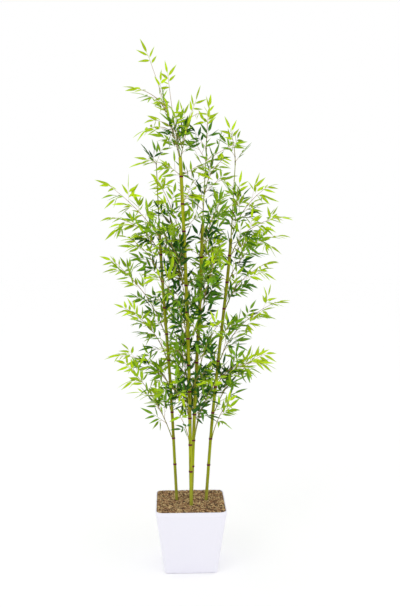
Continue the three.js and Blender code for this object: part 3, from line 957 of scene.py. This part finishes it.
class BambooMulchSettings(bpy.types.PropertyGroup):
    """Mulch bed and its chips."""

    edge_height: length_property("Edge height", "Height of the bed at the wall", 0.2625)
    crown_height: length_property("Crown height", "Height of the bed in the middle", 0.2645)
    gap: length_property("Gap", "Clearance to the wall", 0.0004)
    chip_length: length_property("Chip length", "Length of an average chip", 0.012)
    chip_width: length_property("Chip width", "Width of an average chip", 0.0040)
    chip_count: count_property("Chips", "Number of chips", 4300)
    tan_color: color_property("Tan", "Palest chips", (0.54, 0.39, 0.19))
    brown_color: color_property("Brown", "Most of the chips", (0.30, 0.165, 0.08))
    dark_color: color_property("Dark", "Darkest chips and the bed", (0.08, 0.048, 0.028))


class BambooCaneSettings(bpy.types.PropertyGroup):
    """Looks of the canes."""

    sides: IntProperty(name="Sides", description="Faces round a cane", default=28, min=8)
    color: color_property("Skin", "Main colour of the skin", (0.35, 0.41, 0.005))
    pale_color: color_property("Pale", "Palest streaks", (0.47, 0.51, 0.012))
    streak_color: color_property("Streaks", "Brown streaks", (0.20, 0.15, 0.006))
    foot_color: color_property("Foot", "Skin close to the mulch", (0.29, 0.29, 0.045))
    ring_color: color_property("Rings", "Node rings", (0.13, 0.008, 0.035))
    ring_height: length_property("Ring height", "Height of a node ring", 0.0068)
    ring_swell: length_property("Ring swell", "How far a ring stands out", 0.0011)
    groove: length_property("Groove", "Depth of the fine lengthwise grooves", 0.00014)


class BambooFoliageSettings(bpy.types.PropertyGroup):
    """Twigs and leaves."""

    leaf_length: length_property("Leaf length", "Length of a full-grown leaf", 0.063)
    leaf_width: length_property("Leaf width", "Width of a full-grown leaf", 0.0120)
    twig_length: length_property("Twig length", "Length of a twig near the cane", 0.066)
    twig_spacing: length_property("Twig spacing", "Distance between twigs on a stem", 0.028)
    node_twigs: count_property("Node twigs", "Short twigs at each node of a cane", 1)
    bare_share: FloatProperty(
        name="Bare share", description="Share of a branch that is bare", default=0.08, subtype="FACTOR"
    )
    crowding: FloatProperty(
        name="Crowding", description="How much closer the twigs stand near the cane", default=1.2, min=0.5
    )
    seed: count_property("Seed", "Start of the seeded draws", 15)
    near_color: color_property("Green wood", "Stems close to the canes", (0.30, 0.33, 0.03))
    far_color: color_property("Red wood", "Stems and twigs further out", (0.42, 0.28, 0.09))
    twig_color: color_property("Twig tips", "Ends of the finest twigs", (0.46, 0.32, 0.14))
    lime: color_property("Lime", "Leaves at the tips", (0.41, 0.58, 0.006))
    fresh: color_property("Fresh", "Leaves near the tips", (0.28, 0.45, 0.008))
    green: color_property("Green", "Most leaves", (0.16, 0.32, 0.010))
    deep: color_property("Deep", "Inner leaves", (0.068, 0.185, 0.010))
    shade: color_property("Shade", "Innermost leaves", (0.023, 0.095, 0.009))


class BambooStageSettings(bpy.types.PropertyGroup):
    """Floor, lights and camera."""

    floor_color: color_property("Floor", "Colour of the floor", (1.0, 1.0, 1.0))
    sky: FloatProperty(name="Sky", description="Strength of the even light", default=1.0, min=0)
    key: power_property("Key", "Power of the main light", 14.0)
    fill: power_property("Fill", "Power of the fill light", 5.0)
    camera_x: place_property("Camera X", "Camera, left or right", CAMERA_X)
    camera_y: place_property("Camera Y", "Camera, in front", CAMERA_Y)
    camera_z: place_property("Camera Z", "Camera height", 1.442)
    camera_turn: FloatProperty(
        name="Turn", description="Camera turned to the right", default=math.radians(2.16), unit="ROTATION"
    )
    camera_pitch: FloatProperty(
        name="Pitch", description="Camera tilted down", default=math.radians(6.07), unit="ROTATION"
    )
    lens: FloatProperty(name="Lens", description="Focal length in millimetres", default=50.0, min=1)


# Planter

def levels(settings):
    """Heights of the top of the planter's taper and of the foot of its band."""
    band_foot = settings.height - settings.band
    return band_foot - settings.band_step * 2, band_foot


def outline(settings, height):
    """Half width and corner radius of the planter at a height."""
    taper_top, band_foot = levels(settings)
    taper_half = settings.top_half - settings.band_step
    if height >= band_foot:
        return settings.top_half, settings.corner
    share = height / taper_top
    half = settings.foot_half + (taper_half - settings.foot_half) * share
    return half, settings.foot_corner + (settings.corner - settings.foot_corner) * share


def inset(size, distance):
    """Half width and corner radius a distance further in."""
    return size[0] - distance, size[1] - distance


def make_planter(settings):
    """Thin tapered shell: a round-cornered plate drawn up, hollowed and rounded at its edges."""
    taper_top, band_foot = levels(settings)
    foot = outline(settings, 0.0)
    taper = outline(settings, taper_top)
    rim = outline(settings, settings.height)
    planter = rounded_plate("planter_shell", *foot, 0.0)
    raise_plate(taper_top, foot, taper)
    raise_plate(band_foot - taper_top, taper, rim)
    raise_plate(settings.band)
    bpy.ops.mesh.select_mode(type="FACE")
    bpy.ops.mesh.inset(thickness=settings.wall)
    raise_plate(-settings.band)
    inner_rim, inner_taper, inner_floor = (
        inset(size, settings.wall) for size in (rim, taper, outline(settings, settings.floor))
    )
    raise_plate(taper_top - band_foot, inner_rim, inner_taper)
    raise_plate(settings.floor - taper_top, inner_taper, inner_floor)
    bpy.ops.mesh.select_mode(type="EDGE")
    pick_edges(lambda a, b: max(a.z, b.z) < MM)
    bpy.ops.mesh.bevel(offset=settings.foot, segments=4, profile=0.5)
    bpy.ops.mesh.select_all(action="DESELECT")
    pick_edges(lambda a, b: runs_round(a, b, settings, settings.height))
    bpy.ops.mesh.bevel(offset=settings.lip, segments=3, profile=0.5)
    for height in (taper_top, band_foot):
        bpy.ops.mesh.select_all(action="DESELECT")
        pick_edges(lambda a, b: runs_round(a, b, settings, height) and on_outer_skin(a, settings))
        bpy.ops.mesh.bevel(offset=settings.band_step * STEP_ROUNDING, segments=2, profile=0.5)
    bpy.ops.mesh.select_all(action="SELECT")
    bpy.ops.mesh.normals_make_consistent(inside=False)
    end_edit()
    bpy.ops.object.shade_smooth_by_angle(angle=math.radians(35))
    finish_piece(planter, "planter", ["planter"], planter_material(settings.color))


def outline_distance(x, y, half, corner):
    """Distance from the outline of a square with round corners, negative inside it."""
    over_x = abs(x) - (half - corner)
    over_y = abs(y) - (half - corner)
    return math.hypot(max(over_x, 0), max(over_y, 0)) + min(max(over_x, over_y), 0) - corner


def runs_round(a, b, settings, height):
    """True for an edge at a height that runs round the planter, and not across its wall."""
    if abs(a.z - height) > MM / 4 or abs(b.z - height) > MM / 4:
        return False
    ends = [outline_distance(end.x, end.y, settings.top_half, settings.corner) for end in (a, b)]
    return abs(ends[0] - ends[1]) < settings.wall / 2


def on_outer_skin(point, settings):
    """True for a point of the band that isn't on the inside of the wall."""
    distance = outline_distance(point.x, point.y, settings.top_half, settings.corner)
    return distance > -settings.wall * OUTER_SKIN


# Mulch

def mulch_height(settings, half, x, y):
    """Height of the low mound at a place."""
    share = max(abs(x), abs(y)) / half
    ease = max(0.0, 1 - share**MOUND_POWER)
    ripple = RIPPLE * math.sin(x * RIPPLE_X[0] + RIPPLE_X[1]) * math.cos(y * RIPPLE_Y[0] + RIPPLE_Y[1])
    return settings.edge_height + (settings.crown_height - settings.edge_height) * ease + ripple * ease


def make_mulch_bed(settings, planter):
    """Bed: a block that fills the planter, its top inset in rings and raised to a mound."""
    gap = planter.wall + settings.gap
    taper_top, band_foot = levels(planter)
    low = planter.floor + CLEARANCE
    heights = (low, taper_top, planter.height)
    foot, taper, edge = (inset(outline(planter, height), gap) for height in heights)
    edge_half = edge[0]
    bed = rounded_plate("mulch_bed", *foot, low)
    raise_plate(taper_top - low, foot, taper)
    raise_plate(band_foot - taper_top, taper, edge)
    raise_plate(settings.edge_height - band_foot)
    for k in range(BED_RINGS):
        extrude((0, 0, 0), 1 - 1 / (BED_RINGS + 1 - k), (0, 0, settings.edge_height))
    end_edit()
    for vertex in bed.data.vertices:
        if vertex.co.z > settings.edge_height - MM / 2:
            vertex.co.z = mulch_height(settings, edge_half, vertex.co.x, vertex.co.y) - BED_SINK
    activate(bed)
    bpy.ops.object.shade_smooth_by_angle(angle=math.radians(40))
    finish_piece(bed, "mulch", ["mulch_fill"], mulch_material("mulch_bed", settings.brown_color))
    return edge_half


def model_chip():
    """One bark chip: a bent sliver with narrow ends, a unit long, wide and thick."""
    bpy.ops.mesh.primitive_cube_add(size=1)
    chip = bpy.context.object
    start_edit("EDGE")
    pick_edges(lambda a, b: abs(a.x - b.x) > 0.5)
    bpy.ops.mesh.subdivide(number_cuts=2)
    bpy.ops.mesh.select_mode(type="VERT")
    for way, width in ((1, CHIP_SHARP_END), (-1, CHIP_BLUNT_END)):
        pick_vertices(lambda co, way=way: co.x * way > CHIP_END_FROM)
        middle = (0.5 * way, CHIP_SIDESTEP * way, 0)
        bpy.ops.transform.resize(value=(1, width, CHIP_THIN_END), center_override=middle)
    pick_vertices(lambda co: abs(co.x) < CHIP_END_FROM)
    bpy.ops.transform.translate(value=(0, 0, CHIP_BEND))
    end_edit()
    return take_shape(chip)


def make_chips(settings, planter, canes, half):
    """Scatters chips over the bed, in three colours, clear of the wall and the canes."""
    points, faces = model_chip()
    draws = Draws(CHIP_SEED)
    corner = planter.corner - planter.wall
    kinds = {"tan": Gathered(), "brown": Gathered(), "dark": Gathered()}
    colors = {"tan": settings.tan_color, "brown": settings.brown_color, "dark": settings.dark_color}
    feet = [(cane.point(settings.crown_height), cane.radius) for cane in canes.values()]
    for _ in range(settings.chip_count):
        x = draws.spread(half)
        y = draws.spread(half)
        length = settings.chip_length * draws.between(*CHIP_LENGTHS)
        width = settings.chip_width * draws.between(*CHIP_WIDTHS)
        margin = length * CHIP_MARGIN
        yaw = draws.between(0, math.pi)
        tilt = draws.spread(CHIP_TILT)
        roll = draws.spread(CHIP_ROLL)
        lot = draws.share()
        if outline_distance(x, y, half, corner) > -margin:
            continue
        clear = margin * CHIP_BY_CANE
        if any(math.hypot(x - foot.x, y - foot.y) < radius + clear for foot, radius in feet):
            continue
        kind = "tan" if lot < TAN_SHARE else "brown" if lot < BROWN_UP_TO else "dark"
        turn = Matrix.Rotation(yaw, 3, "Z") @ Matrix.Rotation(tilt, 3, "Y") @ Matrix.Rotation(roll, 3, "X")
        rise = length / 2 * abs(math.sin(tilt))
        base = mulch_height(settings, half, x, y) + draws.between(*CHIP_LIFTS)
        centre = np.array((x, y, min(base, settings.crown_height - rise + CHIP_TOP)))
        shape = (points * (length, width, CHIP_THICKNESS)) @ np.array(turn).T + centre
        kinds[kind].add(shape, faces, np.full((len(points), 3), lot))
    for kind, gathered in kinds.items():
        chips = gathered.build(f"mulch_chips_{kind}", math.radians(30))
        finish_piece(chips, "mulch", [], mulch_material(f"mulch_{kind}", colors[kind]))


# Canes

def cane_profile(cane, settings):
    """Heights and radii of a cane's rings of vertices, root to end."""
    steps = [(cane.foot, cane.radius)]
    half = settings.ring_height / 2
    ends = cane.rings + [cane.top]
    for k, ring in enumerate(cane.rings):
        radius = cane.radius
        for level, offset, share, swell in RING_PROFILE:
            height = ring + half * level + offset
            steps.append((height, radius * share + settings.ring_swell * swell))
        reach = ends[k + 1] - ring
        for share in BETWEEN_RINGS:
            wave = SLIM_WAVE * math.cos(k * SLIM_TURN + share * SLIM_SHIFT)
            steps.append((ring + reach * share, radius * (SLIM_SHARE + wave)))
    steps.append((cane.top - TOP_ROUNDING, cane.radius))
    steps.append((cane.top, cane.radius * TOP_SHARE))
    height = cane.top + THIN_START
    while height < cane.end:
        steps.append((height, cane.radius_at(height)))
        height += THIN_STEP
    if cane.end > cane.top + SHORTEST_THIN:
        steps.append((cane.end, cane.radius_at(cane.end)))
    return steps


def make_cane(cane, settings):
    """Cane: a disc extruded ring by ring up its axis, swollen at each node, with fine grooves."""
    steps = cane_profile(cane, settings)
    start = cane.point(cane.foot)
    bpy.ops.mesh.primitive_circle_add(
        vertices=settings.sides, radius=cane.radius, fill_type="NGON", location=start
    )
    culm = bpy.context.object
    culm.name = cane.name.replace("cane", "culm")
    bpy.ops.object.transform_apply(location=True, rotation=False, scale=False)
    bpy.ops.object.mode_set(mode="EDIT")
    bpy.ops.mesh.select_mode(type="FACE")
    bpy.ops.mesh.select_all(action="SELECT")
    before, radius_before = start, steps[0][1]
    for height, radius in steps[1:]:
        point = cane.point(height)
        extrude(tuple(point - before), radius / radius_before, tuple(point))
        before, radius_before = point, radius
    bpy.ops.mesh.select_all(action="SELECT")
    bpy.ops.mesh.normals_make_consistent(inside=False)
    end_edit()
    for vertex in culm.data.vertices:
        if vertex.co.z < cane.top - MM:
            axis = cane.point(vertex.co.z)
            angle = math.atan2(vertex.co.y - axis.y, vertex.co.x - axis.x)
            fine = FINE_SHARE * math.sin(angle * FINE_GROOVES + vertex.co.z * GROOVE_DRIFT)
            depth = settings.groove * (math.sin(angle * GROOVES) + fine)
            outward = Vector((math.cos(angle), math.sin(angle), 0))
            vertex.co += outward * depth
    half = settings.ring_height / 2
    mulch_top = float(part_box("mulch_fill")[1].z)
    culm.data.materials.append(cane_material(settings, mulch_top, CANE_TONES[cane.name]))
    culm.data.materials.append(ring_material(settings.ring_color))
    for face in culm.data.polygons:
        near = min((abs(face.center.z - ring) for ring in cane.rings), default=1.0)
        on_ring = near < half + RING_MARGIN and abs(face.normal.z) < LEVEL_FACE
        face.material_index = 1 if on_ring else 0
    activate(culm)
    bpy.ops.object.shade_smooth_by_angle(angle=math.radians(50))
    finish_piece(culm, "cane", [cane.name])


# Branches, twigs and leaves

def model_leaf():
    """One leaf, modelled once: a narrow blade folded along its midrib, a unit long and
    a unit wide, closed below by a copy of itself whose midrib lies lower."""
    rows = len(LEAF_OUTLINE) - 1
    bpy.ops.mesh.primitive_grid_add(x_subdivisions=2, y_subdivisions=rows, size=1, location=(0, 0.5, 0))
    leaf = bpy.context.object
    bpy.ops.object.transform_apply(location=True, rotation=False, scale=False)
    start_edit("VERT")
    for row in range(rows, -1, -1):
        share, width = LEAF_OUTLINE[row]
        at = row / rows
        pick_vertices(lambda co, at=at: abs(co.y - at) < 1e-4)
        bpy.ops.transform.resize(value=(max(width, 1e-3), 1, 1), center_override=(0, at, 0))
        bpy.ops.transform.translate(value=(0, share - at + ROW_APART * (row + 1), 0))
    for row in range(rows + 1):
        share = LEAF_OUTLINE[row][0]
        pick_vertices(lambda co, y=share + ROW_APART * (row + 1): abs(co.y - y) < 1e-3)
        bpy.ops.transform.translate(value=(0, -ROW_APART * (row + 1), 0))
    pick_vertices(lambda co: co.y > 1 - 1e-3)
    bpy.ops.mesh.merge(type="CENTER")
    bpy.ops.mesh.select_all(action="SELECT")
    bpy.ops.mesh.duplicate()
    bpy.ops.mesh.flip_normals()
    end_edit()
    half_count = len(leaf.data.vertices) // 2
    for index, vertex in enumerate(leaf.data.vertices):
        vertex.co.z = LEAF_FOLD * abs(vertex.co.x)
        if abs(vertex.co.x) < 1e-4 and 1e-3 < vertex.co.y < 1 - 1e-3 and index >= half_count:
            vertex.co.z -= LEAF_THICKNESS
    start_edit("VERT")
    bpy.ops.mesh.select_all(action="SELECT")
    bpy.ops.mesh.remove_doubles(threshold=1e-4)
    bpy.ops.mesh.normals_make_consistent(inside=False)
    end_edit()
    return take_shape(leaf)


def inside_reach(point):
    """True inside the box of the solids and above the crown's foot."""
    if point.z < CROWN_FOOT:
        return False
    return all(low <= value <= high for low, value, high in zip(CAD_LOW, point, CAD_HIGH))


def tint_beside(tint, step):
    """Tint a step darker, or lighter where the step is negative."""
    tints = list(TINT_STARTS)
    return tints[min(len(tints) - 1, max(0, tints.index(tint) + step))]


class Grower:
    """Grows the stems, twigs and leaves of all branches into a few meshes."""

    def __init__(self, settings, canes):
        self.settings = settings
        self.canes = canes
        self.stems = Gathered()
        self.twigs = Gathered()
        self.leaves = {tint: Gathered() for tint in TINT_STARTS}
        self.leaf_points, self.leaf_faces = model_leaf()

    def add_leaf(self, tint, root, direction, normal, size, draws):
        """Adds one leaf that droops and twists a little towards its tip."""
        length = self.settings.leaf_length * size
        width = self.settings.leaf_width * (WIDTH_BASE + WIDTH_GROWTH * size) * draws.between(*WIDTHS)
        droop = length * draws.between(*DROOPS) * (DROOP_LEVEL - abs(direction.z))
        twist = draws.spread(LEAF_TWIST)
        tone = draws.share()
        tip = root + direction * length - UP * droop
        if not inside_reach(tip) or self.hides_cane(root, tip, abs(twist)):
            return
        side = normal.cross(direction).normalized()
        face = direction.cross(side).normalized()
        across, along, lift = self.leaf_points.T
        angle = twist * along
        level = across * np.cos(angle) - lift * np.sin(angle)
        raised = across * np.sin(angle) + lift * np.cos(angle)
        points = np.array(root) + np.outer(along * length, direction)
        points += np.outer(level * width, side) + np.outer(raised * width, face)
        points[:, 2] -= droop * along**2
        places = np.stack([across * 2, along, np.full(len(along), tone)], axis=1)
        self.leaves[tint].add(points, self.leaf_faces, places)

    def hides_cane(self, root, tip, twist):
        """True for a leaf of little twist that crosses the line of sight to a cane behind it."""
        for cane in self.canes.values():
            axis = cane.point(root.z)
            if twist > CLEAR_TWISTS[cane.name] or root.z > cane.top or root.y > axis.y:
                continue
            offsets = []
            for end in (root, tip):
                share = (end.y - CAMERA_Y) / (axis.y - CAMERA_Y)
                offsets.append(end.x - CAMERA_X - (axis.x - CAMERA_X) * share)
            if offsets[0] * offsets[1] < 0 or min(abs(offset) for offset in offsets) < CLEAR_WIDTH:
                return True
        return False

    def fan(self, tint, end, direction, count, size, stagger, draws):
        """Adds a fan of leaves about the end of a twig, rooted one behind the other."""
        steep = UP.lerp(Vector((0, -1, 0)), max(0.0, direction.z) ** 2)
        normal = steep - direction * steep.dot(direction)
        normal = turned(normal.normalized(), direction, draws.spread(FAN_ROLL))
        hand = 1 if draws.share() < 0.5 else -1
        for k in range(count):
            angle = draws.spread(FAN_SWAY)
            if k > 0:
                angle += hand * (-1) ** k * (FAN_START + FAN_STEP * ((k - 1) // 2))
            aim = turned(direction, normal, angle)
            aim.z -= draws.between(*FAN_SINKS) * (1 - max(0.0, aim.z) ** 2)
            aim.normalize()
            root = end - direction * stagger * k
            tilted = turned(normal, aim, draws.spread(LEAF_ROLL))
            scale = size * (1 - LEAF_SHRINK * k) * draws.between(*FAN_SIZES)
            self.add_leaf(tint, root, aim, tilted, scale, draws)

    def twig(self, tint, start, direction, length, radius, share, count, shoots, draws):
        """Adds a twig with side shoots and a fan of leaves at the end of each."""
        bend = UP * draws.spread(TWIG_RISE) + level_across(direction) * draws.spread(TWIG_BEND)

        def along(t):
            """Point of the twig at a share of the way."""
            return start + direction * length * t + bend * length * t**2

        last = len(TWIG_TAPER) - 1
        points = [along(k / last) for k in range(last + 1)]
        if not inside_reach(points[-1]):
            return
        radii = [radius * part for part in TWIG_TAPER]
        tube(self.twigs, points, radii, TWIG_SIDES, share, min(1.0, share + TWIG_REDDENING), 0.0)
        heading = (points[-1] - points[-2]).normalized()
        self.fan(tint, points[-1], heading, count, 1.0, FAN_STAGGER, draws)
        for k in range(shoots):
            hand = 1 if k % 2 == 0 else -1
            roll = draws.spread(SHOOT_ROLL)
            side = turned(level_across(direction), direction, roll) * hand
            aim = (direction * SHOOT_ALONG + side * SHOOT_ASIDE).normalized()
            root = along(FIRST_SHOOT + SHOOT_SPACING * k)
            shoot = length * draws.between(*SHOOT_LENGTHS)
            end = root + aim * shoot
            if inside_reach(end):
                row = [root, root + aim * shoot * 0.5, end]
                radii = [radius * part for part in SHOOT_TAPER]
                tube(self.twigs, row, radii, SHOOT_SIDES, share + SHOOT_REDDENING, 1.0, 0.0)
                step = 1 if roll > TINT_ROLL else -1 if roll < -TINT_ROLL else 0
                beside = tint_beside(tint, step)
                leaves = 2 + int(draws.share() * SHOOT_SPREAD)
                self.fan(beside, end, aim, leaves, SHOOT_LEAF, min(FAN_STAGGER, shoot / 3), draws)

    def tint_at(self, share, light, draws):
        """Tint of a spray by its place along the branch: lime outside, dark inside."""
        place = share + draws.spread(TINT_SPREAD) + light
        for tint, start in TINT_STARTS.items():
            if place > start:
                return tint
        return "shade"

    def branch(self, branch, seed):
        """Adds a branch: its stem, twigs in turn all round it and the fan at its tip."""
        settings = self.settings
        draws = Draws(seed)
        arc = branch.arc
        length = arc.length()
        extra = STEM_INSET * (SOLID_LEAF - settings.leaf_length)
        heading = arc.tangent(1)
        steps = max(8, int(length / STEM_STEP))
        points = [branch.axis_point] + [arc.point(k / steps) for k in range(steps + 1)]
        points += [arc.tip + heading * extra * 0.5, arc.tip + heading * extra - UP * STEM_DROP]
        radii = [branch.stem_radius(k / (len(points) - 1)) for k in range(len(points))]
        radii[0] = radii[1] * COLLAR_SWELLS[0]
        radii[1] *= COLLAR_SWELLS[1]
        tube(self.stems, points, radii, STEM_SIDES, 0.0, 1.0, 0.0)
        first = settings.bare_share
        spacing = settings.twig_spacing * branch.openness
        count = max(3, round((1 - first) * length / spacing))
        crowding = settings.crowding + OPEN_CROWDING * (branch.openness - 1)
        for k in range(count):
            t = first + (LAST_TWIG - first) * (k / count) ** crowding
            if arc.point(t).z < CROWN_FOOT + BARE_FOOT:
                continue
            tangent = arc.tangent(t)
            roll = k * TWIG_TURN + seed + draws.spread(TWIG_SWAY)
            outward = turned(level_across(tangent), tangent, roll)
            angle = TWIG_ANGLE + draws.spread(TWIG_ANGLE_SWAY)
            direction = (tangent * math.cos(angle) + outward * math.sin(angle)).normalized()
            reach = settings.twig_length * (1 - TWIG_SHORTENING * t) * draws.between(*TWIG_LENGTHS)
            radius = branch.stem_radius(t)
            leaves = FEWEST_LEAVES + int(draws.share() * MORE_LEAVES)
            shoots = int((1 + draws.share() * MORE_SHOOTS) / branch.openness**0.5)
            tint = self.tint_at(t, branch.light, draws)
            start = arc.point(t)
            self.twig(tint, start, direction, reach, radius * TWIG_THINNING, t, leaves, shoots, draws)
            self.knuckle(arc, t, radius, length)
        end = points[-1]
        tint = "lime" if branch.light >= 0 else "fresh"
        self.fan(tint, end, (end - points[-2]).normalized(), TIP_LEAVES, 1.0, FAN_STAGGER, draws)

    def node_twigs(self, cane, seed):
        """Adds short twigs at the nodes of a cane, in turn all round it, longer near its top."""
        settings = self.settings
        draws = Draws(seed)
        heights = [ring for ring in cane.rings if ring > LOWEST_TWIGS]
        height = cane.top + INTERNODE / 2
        while height < cane.end - END_MARGIN:
            heights.append(height)
            height += INTERNODE * THIN_END_STEP
        roll = seed * NODE_TURN
        for height in heights:
            climb = (height - CROWN_FOOT) / (cane.top - CROWN_FOOT)
            more = 1 if "centre" in cane.name else -1 if height > cane.top else 0
            for _ in range(settings.node_twigs + more):
                roll += TWIG_TURN
                outward = Vector((math.cos(roll), math.sin(roll), 0))
                lean = draws.between(*NODE_LEANS)
                direction = outward * math.sin(lean) + UP * math.cos(lean)
                start = cane.point(height + draws.between(*NODE_LIFTS))
                start += outward * cane.radius_at(height) * NODE_DEPTH
                length = settings.twig_length * draws.between(*NODE_LENGTHS)
                length *= NODE_BASE + NODE_GROWTH * climb
                tint = self.tint_at(draws.between(*NODE_PLACES), TOP_LIGHT * climb, draws)
                leaves = FEWEST_LEAVES + int(draws.share() * MORE_LEAVES)
                self.twig(
                    tint, start, direction, length, NODE_RADIUS, NODE_SHARE, leaves, NODE_SHOOTS, draws
                )

    def knuckle(self, arc, t, radius, length):
        """Adds the small swollen node where a twig leaves the stem."""
        half = KNUCKLE_HALF / length
        points = [arc.point(t - 2 * half), arc.point(t), arc.point(t + 2 * half)]
        tube(self.stems, points, [radius, radius * KNUCKLE_SWELL, radius], STEM_SIDES, t, t, 1.0)


def make_foliage(settings, canes):
    """Grows every branch and builds the joined meshes."""
    grower = Grower(settings, canes)
    for index, branch in enumerate(all_branches(canes)):
        grower.branch(branch, settings.seed + index)
    for index, cane in enumerate(canes.values()):
        grower.node_twigs(cane, settings.seed + index + NODE_SEED)
    boughs = sorted(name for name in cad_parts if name.startswith("bough_"))
    masses = sorted(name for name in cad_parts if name.startswith("foliage_"))
    stems = grower.stems.build("side_stems", math.radians(50))
    bark = stem_material("side_stem", settings.near_color, settings.far_color)
    finish_piece(stems, "bough", boughs, bark)
    twigs = grower.twigs.build("fine_twigs", math.radians(50))
    bark = stem_material("fine_twig", settings.far_color, settings.twig_color)
    finish_piece(twigs, "foliage", masses, bark)
    for tint, gathered in grower.leaves.items():
        leaves = gathered.build(f"leaves_{tint}", math.radians(25))
        finish_piece(leaves, "foliage", masses, leaf_material(f"leaf_{tint}", getattr(settings, tint)))


# Stage

def make_light(name, location, size, power):
    """Soft square light that points at the middle of the plant."""
    data = bpy.data.lights.new(name, "AREA")
    data.shape = "SQUARE"
    data.size = size
    data.energy = power
    light = bpy.data.objects.new(name, data)
    bpy.context.collection.objects.link(light)
    light.location = location
    middle = (CAD_LOW + CAD_HIGH) / 2
    light.rotation_euler = (middle - light.location).to_track_quat("-Z", "Y").to_euler()


def make_stage(settings):
    """Floor, even white surroundings, two soft lights and the camera."""
    bpy.ops.mesh.primitive_plane_add(size=FLOOR_SIZE, location=(0, 0, 0))
    floor = bpy.context.object
    floor.name = "stage_floor"
    floor.data.materials.append(floor_material(settings.floor_color))
    world = bpy.data.worlds.new("stage_world")
    world.use_nodes = True
    background = world.node_tree.nodes["Background"]
    background.inputs["Color"].default_value = (1, 1, 1, 1)
    background.inputs["Strength"].default_value = settings.sky
    bpy.context.scene.world = world
    bpy.context.scene.view_settings.view_transform = "Standard"
    make_light("key_light", KEY_PLACE, KEY_SIZE, settings.key)
    make_light("fill_light", FILL_PLACE, FILL_SIZE, settings.fill)
    data = bpy.data.cameras.new("camera")
    data.lens = settings.lens
    data.sensor_width = SENSOR_WIDTH
    camera = bpy.data.objects.new("camera", data)
    bpy.context.collection.objects.link(camera)
    camera.location = (settings.camera_x, settings.camera_y, settings.camera_z)
    camera.rotation_euler = (math.pi / 2 - settings.camera_pitch, 0, -settings.camera_turn)
    bpy.context.scene.camera = camera


# Operators

class BAMBOO_OT_planter(bpy.types.Operator):
    """Make the white square planter"""

    bl_idname = "bamboo.planter"
    bl_label = "Planter"

    def execute(self, context):
        bpy.ops.object.select_all(action="DESELECT")
        make_planter(context.scene.bamboo_planter)
        return {"FINISHED"}


class BAMBOO_OT_mulch(bpy.types.Operator):
    """Make the bed of bark mulch and its loose chips"""

    bl_idname = "bamboo.mulch"
    bl_label = "Mulch"

    def execute(self, context):
        bpy.ops.object.select_all(action="DESELECT")
        settings = context.scene.bamboo_mulch
        planter = context.scene.bamboo_planter
        half = make_mulch_bed(settings, planter)
        make_chips(settings, planter, read_canes(), half)
        return {"FINISHED"}


class BAMBOO_OT_canes(bpy.types.Operator):
    """Make the four canes with their node rings"""

    bl_idname = "bamboo.canes"
    bl_label = "Canes"

    def execute(self, context):
        for cane in read_canes().values():
            bpy.ops.object.select_all(action="DESELECT")
            make_cane(cane, context.scene.bamboo_canes)
        return {"FINISHED"}


class BAMBOO_OT_foliage(bpy.types.Operator):
    """Grow the side stems, twigs and leaves"""

    bl_idname = "bamboo.foliage"
    bl_label = "Foliage"

    def execute(self, context):
        bpy.ops.object.select_all(action="DESELECT")
        make_foliage(context.scene.bamboo_foliage, read_canes())
        return {"FINISHED"}


class BAMBOO_OT_stage(bpy.types.Operator):
    """Make the floor, the lights and the camera"""

    bl_idname = "bamboo.stage"
    bl_label = "Stage"

    def execute(self, context):
        bpy.ops.object.select_all(action="DESELECT")
        make_stage(context.scene.bamboo_stage)
        return {"FINISHED"}


class BAMBOO_PT_panel(bpy.types.Panel):
    """Lists the pieces of the potted bamboo"""

    bl_label = "Potted Bamboo"
    bl_idname = "BAMBOO_PT_panel"
    bl_space_type = "VIEW_3D"
    bl_region_type = "UI"
    bl_category = "Bamboo"

    def draw(self, context):
        for operator in OPERATORS:
            self.layout.operator(operator.bl_idname)


def read_canes():
    """The canes of the frame by name."""
    return {name: Cane(name) for name in CANE_TONES}


SETTINGS = {
    "bamboo_planter": BambooPlanterSettings,
    "bamboo_mulch": BambooMulchSettings,
    "bamboo_canes": BambooCaneSettings,
    "bamboo_foliage": BambooFoliageSettings,
    "bamboo_stage": BambooStageSettings,
}
OPERATORS = [BAMBOO_OT_planter, BAMBOO_OT_mulch, BAMBOO_OT_canes, BAMBOO_OT_foliage, BAMBOO_OT_stage]


def register():
    """Registers the settings, the operators and the panel."""
    for name, settings in SETTINGS.items():
        bpy.utils.register_class(settings)
        setattr(bpy.types.Scene, name, PointerProperty(type=settings))
    for operator in OPERATORS:
        bpy.utils.register_class(operator)
    bpy.utils.register_class(BAMBOO_PT_panel)


def unregister():
    """Removes them again."""
    bpy.utils.unregister_class(BAMBOO_PT_panel)
    for operator in reversed(OPERATORS):
        bpy.utils.unregister_class(operator)
    for name, settings in SETTINGS.items():
        delattr(bpy.types.Scene, name)
        bpy.utils.unregister_class(settings)


def main():
    """Makes every piece in order."""
    register()
    bpy.ops.bamboo.planter()
    bpy.ops.bamboo.mulch()
    bpy.ops.bamboo.canes()
    bpy.ops.bamboo.foliage()
    bpy.ops.bamboo.stage()


if __name__ == "__main__":
    main()
